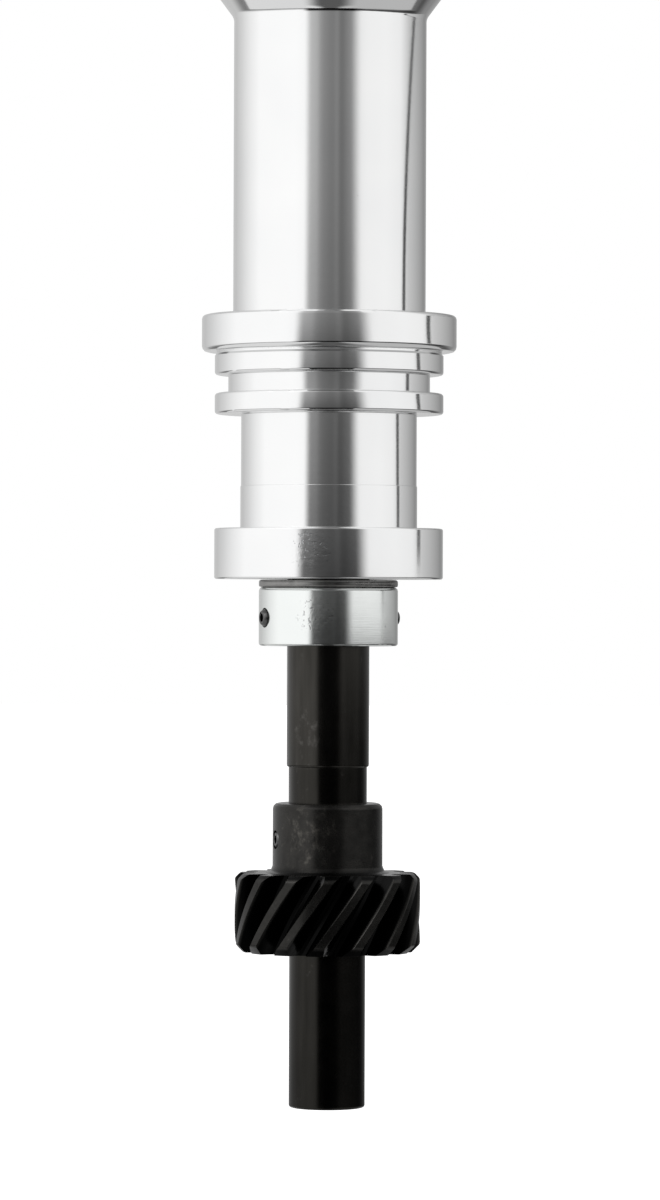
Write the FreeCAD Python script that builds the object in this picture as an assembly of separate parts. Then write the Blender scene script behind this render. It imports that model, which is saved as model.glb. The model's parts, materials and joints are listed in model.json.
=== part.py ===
import FreeCAD, Part
import math
import os

# An ignition distributor for a V8 engine, with a centrifugal advance and a magnetic pickup.
# Millimetres. Z is the drive shaft's centre line, and z = 0 is the underside of the flange,
# which rests on the engine. The drive gear is at the bottom and the cap on top.

V = FreeCAD.Vector

# Housing: the turned lower half that fits the engine block
pilot_r = 19.84
first_ring_height = 4.0
groove_width = 3.2
groove_depth = 2.34
second_ring_height = 3.6
shank_r = 15.24
shank_step = 0.1
shank_step_drop = 7.3
shank_length = 19.8
lower_pilot_height = 8.8
edge_break = 0.5
fine_break = 0.15
flange_overhang = 2.26
flange_thickness = 6.35
flange_edge = 0.6

# Housing: the column, the cone and the bowl
column_r = 16.7
column_height = 51.55
cone_angle = 36.5
bowl_wall = 3.8
floor_below_cone = 6.1
cone_blend = 1.5
ear_r = 5.4
ear_height = 12.0
ear_stand_off = 1.6

# Drive shaft
shaft_r = 7.144
gear_seat_r = 6.8
tail_r = 6.6
upper_shaft_r = 6.35
spigot_r = 4.7625
cam_seat_r = 4.2
gear_seat_drop = 32.5
tail_length = 27.0
shaft_chamfer = 0.45
socket_chamfer = 0.9
hex_across_flats = 7.9375
hex_depth = 14.0
running_clearance = 0.03

# Bushings that carry the shaft
bushing_wall = 2.35
lower_bushing_length = 25.4
upper_bushing_length = 25.4
bushing_flange_wall = 2.6
bushing_flange_height = 1.6
column_bore_room = 2.6

# Thrust washer and collar under the housing
end_play = 0.6
thrust_washer_height = 0.75
collar_r = 12.07
collar_height = 10.2
collar_pin_drop = 5.35
collar_pin_angle = -65.8
collar_pin_overhang = 0.25

# Spring pins in the collar, the gear and the reluctor
pin_r = 1.5875
pin_wall = 0.55
pin_slit = 0.6
pin_clearance = 0.01

# Drive gear
gear_gap = 27.25
hub_r = 9.525
hub_height = 12.1
hub_chamfer = 1.0
hub_fillet = 1.2
gear_face = 13.7
gear_teeth = 15
gear_pitch_r = 14.48
gear_addendum = 1.62
gear_dedendum = 1.98
root_flare = 0.7
helix_angle = 33.5
pressure_angle = 14.5
gear_top_chamfer = 0.95
gear_bottom_chamfer = 1.4
gear_tooth_angle = -14.5
gear_pin_drop = 6.3
gear_pin_angle = -72.0
gear_clearance = 0.01

# Advance mechanism on the top of the shaft
sleeve_wall = 2.7
sleeve_end_play = 0.1
reluctor_lift = 2.2
reluctor_teeth = 8
reluctor_tip_r = 17.5
reluctor_root_r = 13.0
reluctor_height = 5.0
reluctor_tooth_width = 3.2
plate_lift = 4.0
plate_thickness = 2.4
plate_margin = 4.0
plate_half_width = 21.0
plate_corner = 11.0
plate_angle = -15.0
advance_angle = 12.5
weight_height = 4.2
weight_gap = 0.3
weight_pivot_r = 21.0
weight_boss_r = 6.0
weight_to_cam = 0.6
weight_arm_sides = 3
weight_start_angle = 4.0
weight_end_angle = 126.0
weight_tip_round = 2.5
weight_pin_r = 2.0
weight_pin_head_r = 3.0
weight_pin_head_height = 1.2
weight_clearance = 0.05
cam_half_length = 13.6
cam_half_width = 8.2
cam_angle = 75.0
cam_post_r = 1.3
cam_post_radius = 10.5
cam_post_height = 4.6
stop_bushing_r = 2.4
stop_clearance = 0.15
shaft_end_rise = 0.6

# Tension springs of the advance
spring_r = 1.9
spring_wire = 0.6
spring_gap = 0.3
spring_hook_length = 5.7

# Rotor on its two stand-offs
stand_off_inset = 5.5
stand_off_angle = 146.0
stand_off_flats = 6.4
stand_off_height = 10.4
stand_off_rivet_r = 1.6
rotor_base_height = 3.5
rotor_overhang = 2.8
rotor_hub_r = 10.0
rotor_arm_width = 10.0
rotor_arm_height = 5.4
blade_width = 7.0
blade_thickness = 1.6
blade_reach = 27.7
blade_tail = 9.0
contact_width = 5.0
contact_thickness = 0.4
contact_rise = 1.6
contact_foot = 7.0
contact_foot_length = 6.0
rotor_screw_r = 1.6
rotor_screw_flats = 5.5
rotor_screw_head_height = 2.0
rotor_screw_length = 6.0
tapped_room = 1.0

# Magnetic pickup on the bowl floor
air_gap = 0.8
core_r = 1.8
core_length = 9.4
coil_r = 4.1
coil_length = 5.2
coil_setback = 1.4
coil_flange = 0.9
coil_groove = 0.6
magnet_r = 3.6
magnet_length = 3.0
bracket_thickness = 2.0
bracket_half_width = 14.0
bracket_corner = 2.0
bracket_foot_length = 7.6
bracket_wall_half_width = 5.2
bracket_wall_height = 11.0
bracket_screw_inset = 3.5
pickup_screw_r = 1.9
pickup_screw_flats = 6.35
pickup_screw_head_height = 2.2
pickup_screw_length = 6.0

# Grommet in the bowl wall, where the pickup's lead leaves
grommet_hole_r = 3.2
grommet_bore_r = 2.1
grommet_outer_r = 4.6
grommet_inner_r = 3.9
grommet_lip = 1.6
grommet_rise = 5.9

# Cap
rim_above_plate = 2.6
cap_wall = 4.4
cap_lip_depth = 1.8
cap_lip_wall = 2.0
electrode_to_wall = 3.8
cap_lip_clearance = 0.1
cap_band_height = 7.0
cap_shoulder = 2.0
cap_roof = 4.0
roof_over_blade = 8.5
towers = 8
tower_r = 6.4
tower_height = 16.0
centre_tower_height = 18.0
electrode_r = 1.9
electrode_gap = 0.8
electrode_drop = 5.0
terminal_head_r = 3.2
terminal_neck_height = 3.6
terminal_head_height = 4.2
button_r = 3.2
button_gap = 0.05
cap_ear_height = 9.0
cap_screw_r = 2.2
cap_screw_room = 0.2
cap_screw_head_room = 0.8
cap_screw_length = 17.0
cap_screw_flats = 7.94
cap_screw_head_height = 3.2
cap_screw_angle = 45.0

# How far a cutting shape reaches past the faces that it opens
overcut = 1.0

# Radii of the bowl and the cap, which follow from the rotor's blade outwards
tower_circle_r = blade_reach + electrode_gap + electrode_r
cap_inner_r = tower_circle_r + electrode_r + electrode_to_wall
cap_lip_r = cap_inner_r + cap_lip_wall
bowl_inner_r = cap_lip_r + cap_lip_clearance
bowl_r = bowl_inner_r + bowl_wall
cap_screw_radius = bowl_r + ear_stand_off
rotor_r = blade_reach + rotor_overhang
stand_off_r = rotor_r - stand_off_inset
plate_half_length = stand_off_r + plate_margin
weight_outer_r = weight_pivot_r + weight_boss_r
weight_inner_r = cam_half_length + weight_to_cam

# Heights that follow from the sizes above, from the flange down
z_first_ring = -first_ring_height
z_groove = z_first_ring - groove_width
z_second_ring = z_groove - second_ring_height
z_shank_end = z_second_ring - shank_length
z_shank_step = z_shank_end + shank_step_drop
z_housing_end = z_shank_end - lower_pilot_height
z_washer_top = z_housing_end - end_play
z_collar_top = z_washer_top - thrust_washer_height
z_collar_end = z_collar_top - collar_height
z_collar_pin = z_collar_top - collar_pin_drop
z_gear_top = z_collar_end - gear_gap
z_gear_face = z_gear_top - hub_height
z_gear_end = z_gear_face - gear_face
z_gear_pin = z_gear_top - gear_pin_drop
z_gear_seat = z_housing_end - gear_seat_drop
z_shaft_end = z_gear_end - tail_length

# Heights from the flange up to the bowl floor
z_column_top = flange_thickness + column_height
slope = math.tan(math.radians(cone_angle))
z_cone_top = z_column_top + (bowl_r - column_r) / slope
z_floor = z_cone_top - floor_below_cone
z_inner_corner = z_cone_top + bowl_wall * math.tan(math.radians(cone_angle / 2))

# Heights of the advance mechanism, stacked on the bowl floor
z_bushing_top = z_floor + bushing_flange_height
z_spigot = z_bushing_top + sleeve_end_play
z_sleeve = z_spigot + sleeve_end_play
z_reluctor = z_sleeve + reluctor_lift
z_reluctor_top = z_reluctor + reluctor_height
z_plate = z_reluctor_top + plate_lift
z_plate_top = z_plate + plate_thickness
z_weight = z_plate_top + weight_gap
z_weight_top = z_weight + weight_height
z_shaft_top = z_weight_top + shaft_end_rise
z_spring = z_weight_top + spring_gap + spring_r
z_post_top = z_weight_top + cam_post_height

# Heights of the rotor and the cap
z_rotor = z_plate_top + stand_off_height
z_rotor_top = z_rotor + rotor_base_height
z_arm_top = z_rotor_top + rotor_arm_height
z_blade_top = z_arm_top + blade_thickness
z_contact_top = z_blade_top + contact_thickness + contact_rise
z_rim = z_plate_top + rim_above_plate
z_roof = z_blade_top + roof_over_blade
z_cap_top = z_roof + cap_roof
z_tower_top = z_cap_top + tower_height
z_centre_top = z_cap_top + centre_tower_height

# Radii of the lower half that follow
groove_r = pilot_r - groove_depth
flange_r = pilot_r + flange_overhang
gear_outside_r = gear_pitch_r + gear_addendum
gear_root_r = gear_pitch_r - gear_dedendum
floor_r = bowl_inner_r - (z_inner_corner - z_floor) * slope
lower_bushing_bore_r = shaft_r + running_clearance
upper_bushing_bore_r = upper_shaft_r + running_clearance
lower_seat_r = lower_bushing_bore_r + bushing_wall
upper_seat_r = upper_bushing_bore_r + bushing_wall
column_bore_r = upper_shaft_r + column_bore_room
z_lower_bushing_top = z_housing_end + lower_bushing_length
z_upper_bushing = z_floor - upper_bushing_length
z_upper_shaft = z_lower_bushing_top + column_bore_room
sleeve_bore_r = spigot_r + running_clearance
sleeve_r = sleeve_bore_r + sleeve_wall
pickup_y = reluctor_tip_r + air_gap
z_pickup = z_reluctor + reluctor_height / 2
z_grommet = z_cone_top + grommet_rise


def at(radius, turn, height):
    """A point at a radius and a turn, in degrees from +X towards +Y."""
    angle = math.radians(turn)
    return V(radius * math.cos(angle), radius * math.sin(angle), height)


def opposite(radius, turn):
    """Two points on opposite sides of the shaft line."""
    return [at(radius, turn, 0), at(-radius, turn, 0)]


def from_front(turn):
    """The turn from +X of a turn that is counted from the front (-Y), positive to the right."""
    return turn - 90.0


def unit(start, end):
    """The direction from one point to another."""
    return (end - start).normalize()


def outline(corners, point):
    """A closed wire. Each corner is (a, b), (a, b, chamfer) or (a, b, tangent, "round")."""
    count = len(corners)
    places = [point(corner[0], corner[1]) for corner in corners]
    edges = []
    start = None
    first = None
    for i in range(count + 1):
        corner = corners[i % count]
        place = places[i % count]
        cut = corner[2] if len(corner) > 2 else 0.0
        back = unit(place, places[(i - 1) % count])
        ahead = unit(place, places[(i + 1) % count])
        enter = place + back * cut
        leave = place + ahead * cut
        if start is None:
            first = leave
        else:
            if (enter - start).Length > 1e-7:
                edges.append(Part.makeLine(start, enter))
            if i == count and cut == 0:
                break
            if cut > 0 and len(corner) > 3:
                half = back.getAngle(ahead) / 2
                radius = cut * math.tan(half)
                middle = place + unit(V(), back + ahead) * (radius / math.sin(half) - radius)
                edges.append(Part.Arc(enter, middle, leave).toShape())
            elif cut > 0:
                edges.append(Part.makeLine(enter, leave))
        start = leave
    return Part.Wire(edges)


def turned(corners):
    """A solid turned about the shaft line from (radius, height) corners."""
    face = Part.Face(outline(corners, lambda r, z: V(r, 0, z)))
    return face.revolve(V(0, 0, 0), V(0, 0, 1), 360)


def plate_from(corners, low, high):
    """A flat plate with the outline of (x, y) corners, between two heights."""
    face = Part.Face(outline(corners, lambda x, y: V(x, y, low)))
    return face.extrude(V(0, 0, high - low))


def rod(radius, low, high, place=V(0, 0, 0)):
    """An upright round rod."""
    return Part.makeCylinder(radius, high - low, V(place.x, place.y, low))


def ring(inner, outer, low, high):
    """An upright ring."""
    return turned([(inner, low), (outer, low), (outer, high), (inner, high)])


def lying(shape, turn, height):
    """A shape made along Z, laid down so that its axis points to a turn at a height."""
    laid = shape.copy()
    laid.rotate(V(0, 0, 0), V(0, 1, 0), 90)
    laid.rotate(V(0, 0, 0), V(0, 0, 1), turn)
    laid.translate(V(0, 0, height))
    return laid


def cross_hole(turn, height, radius, reach):
    """A drill through the shaft line."""
    return lying(rod(radius, -reach, reach), turn, height)


def spring_pin(low, high):
    """A rolled pin with a slit along it, along Z."""
    tube = ring(pin_r - pin_wall, pin_r, low, high)
    slit = Part.makeBox(pin_r * 2, pin_slit, high - low + overcut * 2,
                        V(0, -pin_slit / 2, low - overcut))
    return tube.cut(slit)


def hexagon(across_flats, place, low, high):
    """An upright hexagonal bar."""
    sides = 6
    corner_r = across_flats / 2 / math.cos(math.pi / sides)
    corners = [place + at(corner_r, 360.0 / sides * i, 0) for i in range(sides)]
    return plate_from([(corner.x, corner.y) for corner in corners], low, high)


def hex_screw(thread_r, length, across_flats, head_height, seat, place):
    """A hexagon-head screw whose head stands on a seat height, its thread below."""
    thread = rod(thread_r, seat - length, seat, place)
    return thread.fuse(hexagon(across_flats, place, seat, seat + head_height))


def cap_screw_places():
    """The two points where the cap is held down."""
    return opposite(cap_screw_radius, cap_screw_angle)


def pickup_screw_places():
    """The two points where the pickup bracket is held down."""
    y = bracket_foot_y() + bracket_foot_length / 2
    x = bracket_half_width - bracket_screw_inset
    return [V(side * x, y, 0) for side in (-1, 1)]


def bracket_wall_y():
    """The near face of the bracket's upright."""
    return pickup_y + coil_setback + coil_length


def bracket_foot_y():
    """The near edge of the bracket's foot."""
    return bracket_wall_y() + bracket_thickness - bracket_foot_length


def housing():
    """The billet body: pilot rings, shank, flange, column, cone and bowl, bored for the bushings."""
    body = turned([
        (lower_seat_r, z_housing_end),
        (pilot_r, z_housing_end, fine_break),
        (pilot_r, z_shank_end, fine_break),
        (shank_r + shank_step, z_shank_end),
        (shank_r + shank_step, z_shank_step),
        (shank_r, z_shank_step),
        (shank_r, z_second_ring),
        (pilot_r, z_second_ring, edge_break),
        (pilot_r, z_groove, edge_break),
        (groove_r, z_groove),
        (groove_r, z_first_ring),
        (pilot_r, z_first_ring, edge_break),
        (pilot_r, 0),
        (flange_r, 0, flange_edge),
        (flange_r, flange_thickness, flange_edge),
        (column_r, flange_thickness),
        (column_r, z_column_top),
        (bowl_r, z_cone_top, cone_blend),
        (bowl_r, z_rim, edge_break),
        (bowl_inner_r, z_rim),
        (bowl_inner_r, z_inner_corner),
        (floor_r, z_floor),
        (upper_seat_r, z_floor),
        (upper_seat_r, z_upper_bushing),
        (column_bore_r, z_upper_bushing),
        (column_bore_r, z_lower_bushing_top),
        (lower_seat_r, z_lower_bushing_top),
    ])
    for place in cap_screw_places():
        ear = rod(ear_r, z_rim - ear_height, z_rim, place)
        ear = ear.cut(rod(bowl_r - bowl_wall / 2, z_rim - ear_height, z_rim))
        body = body.fuse(ear)
        tapped = z_rim + cap_ear_height - cap_screw_length - tapped_room
        body = body.cut(rod(cap_screw_r, tapped, z_rim + overcut, place))
    for place in pickup_screw_places():
        tapped = z_floor + bracket_thickness - pickup_screw_length - tapped_room
        body = body.cut(rod(pickup_screw_r, tapped, z_floor + overcut, place))
    lead_hole = rod(grommet_hole_r, bowl_inner_r - bowl_wall, bowl_r + overcut)
    return body.cut(lying(lead_hole, 90, z_grommet)).removeSplitter()


def lower_bushing():
    """A sintered bronze bush, pressed in from below, flush with the housing."""
    return turned([
        (lower_bushing_bore_r, z_housing_end, edge_break / 2),
        (lower_seat_r, z_housing_end),
        (lower_seat_r, z_lower_bushing_top),
        (lower_bushing_bore_r, z_lower_bushing_top),
    ])


def upper_bushing():
    """A flanged bronze bush whose flange stands on the bowl floor."""
    return turned([
        (upper_bushing_bore_r, z_upper_bushing),
        (upper_seat_r, z_upper_bushing),
        (upper_seat_r, z_floor),
        (upper_seat_r + bushing_flange_wall, z_floor),
        (upper_seat_r + bushing_flange_wall, z_bushing_top),
        (upper_bushing_bore_r, z_bushing_top),
    ])


def drive_shaft():
    """The stepped shaft, with the hexagon socket for the oil pump's rod in its lower end."""
    shaft = turned([
        (0, z_shaft_end),
        (tail_r, z_shaft_end, shaft_chamfer),
        (tail_r, z_gear_end - gear_bottom_chamfer),
        (gear_seat_r, z_gear_end - gear_bottom_chamfer, fine_break),
        (gear_seat_r, z_gear_seat),
        (shaft_r, z_gear_seat, shaft_chamfer),
        (shaft_r, z_upper_shaft),
        (upper_shaft_r, z_upper_shaft),
        (upper_shaft_r, z_spigot),
        (spigot_r, z_spigot),
        (spigot_r, z_weight),
        (cam_seat_r, z_weight),
        (cam_seat_r, z_shaft_top, shaft_chamfer),
        (0, z_shaft_top),
    ])
    shaft = shaft.cut(hexagon(hex_across_flats, V(0, 0, 0), z_shaft_end - overcut,
                              z_shaft_end + hex_depth))
    mouth_r = hex_across_flats / 2
    shaft = shaft.cut(Part.makeCone(mouth_r + socket_chamfer, mouth_r, socket_chamfer,
                                    V(0, 0, z_shaft_end)))
    shaft = shaft.cut(cross_hole(from_front(collar_pin_angle), z_collar_pin,
                                 pin_r + pin_clearance, shaft_r + overcut))
    return shaft.cut(cross_hole(from_front(gear_pin_angle), z_gear_pin,
                                pin_r + pin_clearance, shaft_r + overcut))


def thrust_washer():
    """A thin washer on the collar, which takes the upward thrust of the gear."""
    return ring(shaft_r + running_clearance, collar_r, z_collar_top, z_washer_top)


def thrust_collar():
    """The ring that is pinned to the shaft and stops it from rising."""
    collar = turned([
        (shaft_r + pin_clearance, z_collar_end),
        (collar_r, z_collar_end, edge_break / 2),
        (collar_r, z_collar_top, edge_break),
        (shaft_r + pin_clearance, z_collar_top),
    ])
    return collar.cut(cross_hole(from_front(collar_pin_angle), z_collar_pin,
                                 pin_r + pin_clearance, collar_r + overcut))


def collar_pin():
    """The spring pin through the collar, flush in front and just proud behind."""
    pin = spring_pin(-collar_r - collar_pin_overhang, collar_r - collar_pin_overhang)
    return lying(pin, from_front(collar_pin_angle), z_collar_pin)


def gear_section(height, turn):
    """The gear's cross-section at a height. Each flank is two chords of its involute."""
    transverse = math.atan(math.tan(math.radians(pressure_angle))
                           / math.cos(math.radians(helix_angle)))
    base_r = gear_pitch_r * math.cos(transverse)
    pitch = 360.0 / gear_teeth

    def involute(angle):
        return math.tan(angle) - angle

    def half_width(radius):
        spread = involute(transverse) - involute(math.acos(base_r / radius))
        return pitch / 4 + math.degrees(spread)

    root_half = half_width(base_r) + math.degrees((base_r - gear_root_r) * root_flare
                                                  / gear_root_r)
    flank = [(gear_outside_r, half_width(gear_outside_r)),
             (gear_pitch_r, half_width(gear_pitch_r)),
             (gear_root_r, root_half)]
    points = []
    for i in range(gear_teeth):
        centre = turn + pitch * i
        points += [at(radius, centre - half, height) for radius, half in reversed(flank)]
        points += [at(radius, centre + half, height) for radius, half in flank]
    return Part.makePolygon(points + [points[0]])


def helical_teeth():
    """The toothed blank, lofted through three sections that turn with a right-hand helix."""
    lead = 2 * math.pi * gear_pitch_r / math.tan(math.radians(helix_angle))
    sections = []
    for share in (-0.5, 0.0, 0.5):
        height = gear_face * share
        turn = from_front(gear_tooth_angle) + 360.0 * height / lead
        sections.append(gear_section(z_gear_face - gear_face / 2 + height, turn))
    return Part.makeLoft(sections, True, False)


def drive_gear():
    """The helical gear with its hub, chamfered at both faces and bored for the shaft."""
    blank = turned([
        (0, z_gear_end),
        (gear_outside_r, z_gear_end, gear_bottom_chamfer),
        (gear_outside_r, z_gear_face, gear_top_chamfer),
        (0, z_gear_face),
    ])
    hub = turned([
        (0, z_gear_end + fine_break),
        (hub_r, z_gear_end + fine_break),
        (hub_r, z_gear_face - fine_break),
        (hub_r + hub_fillet, z_gear_face - fine_break),
        (hub_r + hub_fillet, z_gear_face),
        (hub_r, z_gear_face + hub_fillet),
        (hub_r, z_gear_top, hub_chamfer),
        (0, z_gear_top),
    ])
    gear = helical_teeth().common(blank).fuse(hub)
    bore = rod(gear_seat_r + gear_clearance, z_gear_end - overcut, z_gear_top + overcut)
    gear = gear.cut(bore)
    return gear.cut(cross_hole(from_front(gear_pin_angle), z_gear_pin,
                               pin_r + pin_clearance, hub_r + overcut))


def gear_pin():
    """The spring pin through the gear's hub."""
    pin = spring_pin(-hub_r, hub_r)
    return lying(pin, from_front(gear_pin_angle), z_gear_pin)


def advance_sleeve():
    """The tube that turns on the shaft's spigot and carries the reluctor and the plate."""
    return ring(sleeve_bore_r, sleeve_r, z_sleeve, z_plate_top)


def reluctor():
    """The toothed wheel that passes the pickup, one tooth for each cylinder of the engine."""
    half = reluctor_tooth_width / 2
    root_turn = math.degrees(math.asin(half / reluctor_root_r))
    tip_turn = math.degrees(math.asin(half / reluctor_tip_r))
    corners = []
    for i in range(reluctor_teeth):
        centre = 360.0 / reluctor_teeth * i
        for radius, turn in ((reluctor_root_r, -root_turn), (reluctor_tip_r, -tip_turn),
                             (reluctor_tip_r, tip_turn), (reluctor_root_r, root_turn)):
            point = at(radius, centre + turn, 0)
            corners.append((point.x, point.y))
    wheel = plate_from(corners, z_reluctor, z_reluctor_top)
    return wheel.cut(rod(sleeve_r, z_reluctor - overcut, z_reluctor_top + overcut))


def weight_pivots():
    """The two pivot points of the weights."""
    return opposite(weight_pivot_r, 0)


def stand_off_places():
    """The two points where the rotor's stand-offs are riveted to the plate."""
    return opposite(stand_off_r, stand_off_angle)


def stop_slot():
    """The curved slot in the plate that limits the advance."""
    half = stop_bushing_r + stop_clearance
    low = z_plate - overcut
    high = z_plate_top + overcut
    start = cam_angle - advance_angle
    wedge = Part.Face(Part.makePolygon([
        V(0, 0, low),
        at(plate_half_length, start, low),
        at(plate_half_length, cam_angle, low),
        V(0, 0, low),
    ])).extrude(V(0, 0, high - low))
    slot = ring(cam_post_radius - half, cam_post_radius + half, low, high).common(wedge)
    for turn in (start, cam_angle):
        slot = slot.fuse(rod(half, low, high, at(cam_post_radius, turn, 0)))
    return slot


def weight_plate():
    """The plate that carries the weights, flattened on two sides, with the stop's slot."""
    along = plate_half_length
    across = plate_half_width
    plate = plate_from([
        (along, -across, plate_corner), (along, across, plate_corner),
        (-along, across, plate_corner), (-along, -across, plate_corner),
    ], z_plate, z_plate_top)
    plate.rotate(V(0, 0, 0), V(0, 0, 1), plate_angle)
    low = z_plate - overcut
    high = z_plate_top + overcut
    plate = plate.cut(rod(sleeve_r, low, high))
    plate = plate.cut(stop_slot())
    for place in weight_pivots():
        plate = plate.cut(rod(weight_pin_r, low, high, place))
    for place in stand_off_places():
        plate = plate.cut(rod(stand_off_rivet_r, low, high, place))
    return plate


def weight_pins():
    """The pivots of the weights, headed under the plate, whose tops hold the springs."""
    pins = []
    for place in weight_pivots():
        head = rod(weight_pin_head_r, z_plate - weight_pin_head_height, z_plate, place)
        pins.append(head.fuse(rod(weight_pin_r, z_plate, z_post_top, place)))
    return Part.makeCompound(pins)


def weight(which):
    """A centrifugal weight: a bent arm round the cam, pivoted at one end."""
    side_angle = (weight_end_angle - weight_start_angle) / weight_arm_sides
    turns = [weight_start_angle + side_angle * i for i in range(weight_arm_sides + 1)]
    inner_r = weight_inner_r / math.cos(math.radians(side_angle / 2))
    rim = [at(weight_outer_r, turn, 0) for turn in turns]
    inside = [at(inner_r, turn, 0) for turn in reversed(turns)]
    tips = (weight_arm_sides, weight_arm_sides + 1)
    corners = []
    for i, point in enumerate(rim + inside):
        cut = weight_tip_round if i in tips else 0.0
        corners.append((point.x, point.y, cut, "round"))
    arm = plate_from(corners, z_weight, z_weight_top)
    body = arm.fuse(rod(weight_boss_r, z_weight, z_weight_top, weight_pivots()[0]))
    body = body.removeSplitter()
    body = body.cut(rod(weight_pin_r + weight_clearance, z_weight - overcut,
                        z_weight_top + overcut, weight_pivots()[0]))
    body.rotate(V(0, 0, 0), V(0, 0, 1), 180 * which)
    return body


def cam_posts():
    """The points of the two spring posts on the cam."""
    return opposite(cam_post_radius, cam_angle)


def centre_cam():
    """The oval cam on the top of the shaft, with a post for each spring and the stop's pin."""
    lobe = cam_half_length - cam_half_width
    half = cam_half_width
    cam = plate_from([
        (-lobe, -half), (lobe, -half), (lobe + half, -half, half, "round"),
        (lobe + half, half, half, "round"), (-lobe, half), (-lobe - half, half, half, "round"),
        (-lobe - half, -half, half, "round"),
    ], z_weight, z_weight_top)
    cam.rotate(V(0, 0, 0), V(0, 0, 1), cam_angle)
    cam = cam.cut(rod(cam_seat_r, z_weight - overcut, z_weight_top + overcut))
    for place in cam_posts():
        cam = cam.fuse(rod(cam_post_r, z_weight_top, z_post_top, place))
    stop = rod(cam_post_r, z_plate + fine_break, z_weight, cam_posts()[0])
    return cam.fuse(stop).removeSplitter()


def stop_bushing():
    """The sleeve on the cam's lower pin, which runs in the plate's slot."""
    low = z_plate + fine_break
    bushing = rod(stop_bushing_r, low, z_weight)
    bushing = bushing.cut(rod(cam_post_r, low - overcut, z_weight + overcut))
    bushing.translate(cam_posts()[0])
    return bushing


def advance_spring(which):
    """A tension spring from a weight's pin to the cam's far post, as a plain round coil."""
    pin = weight_pivots()[0] + V(0, 0, z_spring)
    post = cam_posts()[1] + V(0, 0, z_spring)
    length = (post - pin).Length
    start = spring_hook_length
    end = length - spring_hook_length
    coil = rod(spring_r, start, end)
    half = spring_wire / 2
    for low, high in ((weight_pin_r, start), (end, length - cam_post_r)):
        coil = coil.fuse(Part.makeBox(spring_wire, spring_wire, high - low, V(-half, -half, low)))
    return laid_between(coil, pin, post, which)


def laid_between(shape, start, end, which):
    """A shape made along Z, laid from one point to another, and turned half round for the second."""
    direction = end - start
    turn = math.degrees(math.atan2(direction.y, direction.x))
    laid = shape.copy()
    laid.rotate(V(0, 0, 0), V(0, 1, 0), 90)
    laid.rotate(V(0, 0, 0), V(0, 0, 1), turn)
    laid.translate(start)
    laid.rotate(V(0, 0, 0), V(0, 0, 1), 180 * which)
    return laid


def rotor_posts():
    """Two hexagonal stand-offs, riveted to the plate and tapped for the rotor's screws."""
    posts = []
    for place in stand_off_places():
        post = hexagon(stand_off_flats, place, z_plate_top, z_rotor)
        post = post.fuse(rod(stand_off_rivet_r, z_plate, z_plate_top, place))
        tapped = z_rotor_top - rotor_screw_length - tapped_room
        post = post.cut(rod(rotor_screw_r, tapped, z_rotor + overcut, place))
        posts.append(post)
    return Part.makeCompound(posts)


def rotor():
    """The moulded rotor: a disc with a hub and an arm under the blade."""
    base = rod(rotor_r, z_rotor, z_rotor_top)
    hub = rod(rotor_hub_r, z_rotor, z_arm_top)
    arm = Part.makeBox(blade_reach - blade_thickness, rotor_arm_width, z_arm_top - z_rotor,
                       V(0, -rotor_arm_width / 2, z_rotor))
    body = base.fuse([hub, arm])
    for place in stand_off_places():
        body = body.cut(rod(rotor_screw_r + fine_break, z_rotor - overcut,
                            z_rotor_top + overcut, place))
    return body.removeSplitter()


def rotor_blade():
    """The brass strip on the rotor's arm, rounded to the circle of the cap's electrodes."""
    strip = Part.makeBox(blade_reach + blade_tail, blade_width, blade_thickness,
                         V(-blade_tail, -blade_width / 2, z_arm_top))
    return strip.common(rod(blade_reach, z_arm_top, z_blade_top))


def rotor_contact():
    """The leaf spring on the blade that rises to the cap's carbon button."""
    face_low = z_blade_top
    step = contact_thickness
    points = [
        V(contact_foot + contact_foot_length, 0, face_low),
        V(contact_foot, 0, face_low),
        V(button_r, 0, z_contact_top - step),
        V(-button_r, 0, z_contact_top - step),
        V(-button_r, 0, z_contact_top),
        V(button_r, 0, z_contact_top),
        V(contact_foot + step, 0, face_low + step),
        V(contact_foot + contact_foot_length, 0, face_low + step),
    ]
    profile = Part.Face(Part.makePolygon(points + [points[0]]))
    profile.translate(V(0, -contact_width / 2, 0))
    return profile.extrude(V(0, contact_width, 0))


def rotor_screws():
    """The two screws that hold the rotor on its stand-offs."""
    screws = []
    for place in stand_off_places():
        screws.append(hex_screw(rotor_screw_r, rotor_screw_length, rotor_screw_flats,
                                rotor_screw_head_height, z_rotor_top, place))
    return Part.makeCompound(screws)


def pickup_bracket():
    """The angle on the bowl floor that carries the pickup's core."""
    near = bracket_foot_y()
    far = near + bracket_foot_length
    foot = plate_from([
        (-bracket_half_width, near), (bracket_half_width, near),
        (bracket_half_width, far, bracket_corner), (-bracket_half_width, far, bracket_corner),
    ], z_floor, z_floor + bracket_thickness)
    wall = Part.makeBox(bracket_wall_half_width * 2, bracket_thickness, bracket_wall_height,
                        V(-bracket_wall_half_width, bracket_wall_y(), z_floor))
    bracket = foot.fuse(wall)
    for place in pickup_screw_places():
        bracket = bracket.cut(rod(pickup_screw_r + fine_break, z_floor - overcut,
                                  z_floor + bracket_thickness + overcut, place))
    return bracket.cut(pickup_core()).removeSplitter()


def pickup_core():
    """The soft-iron pole that faces the reluctor."""
    return lying(rod(core_r, pickup_y, pickup_y + core_length), 90, z_pickup)


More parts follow.
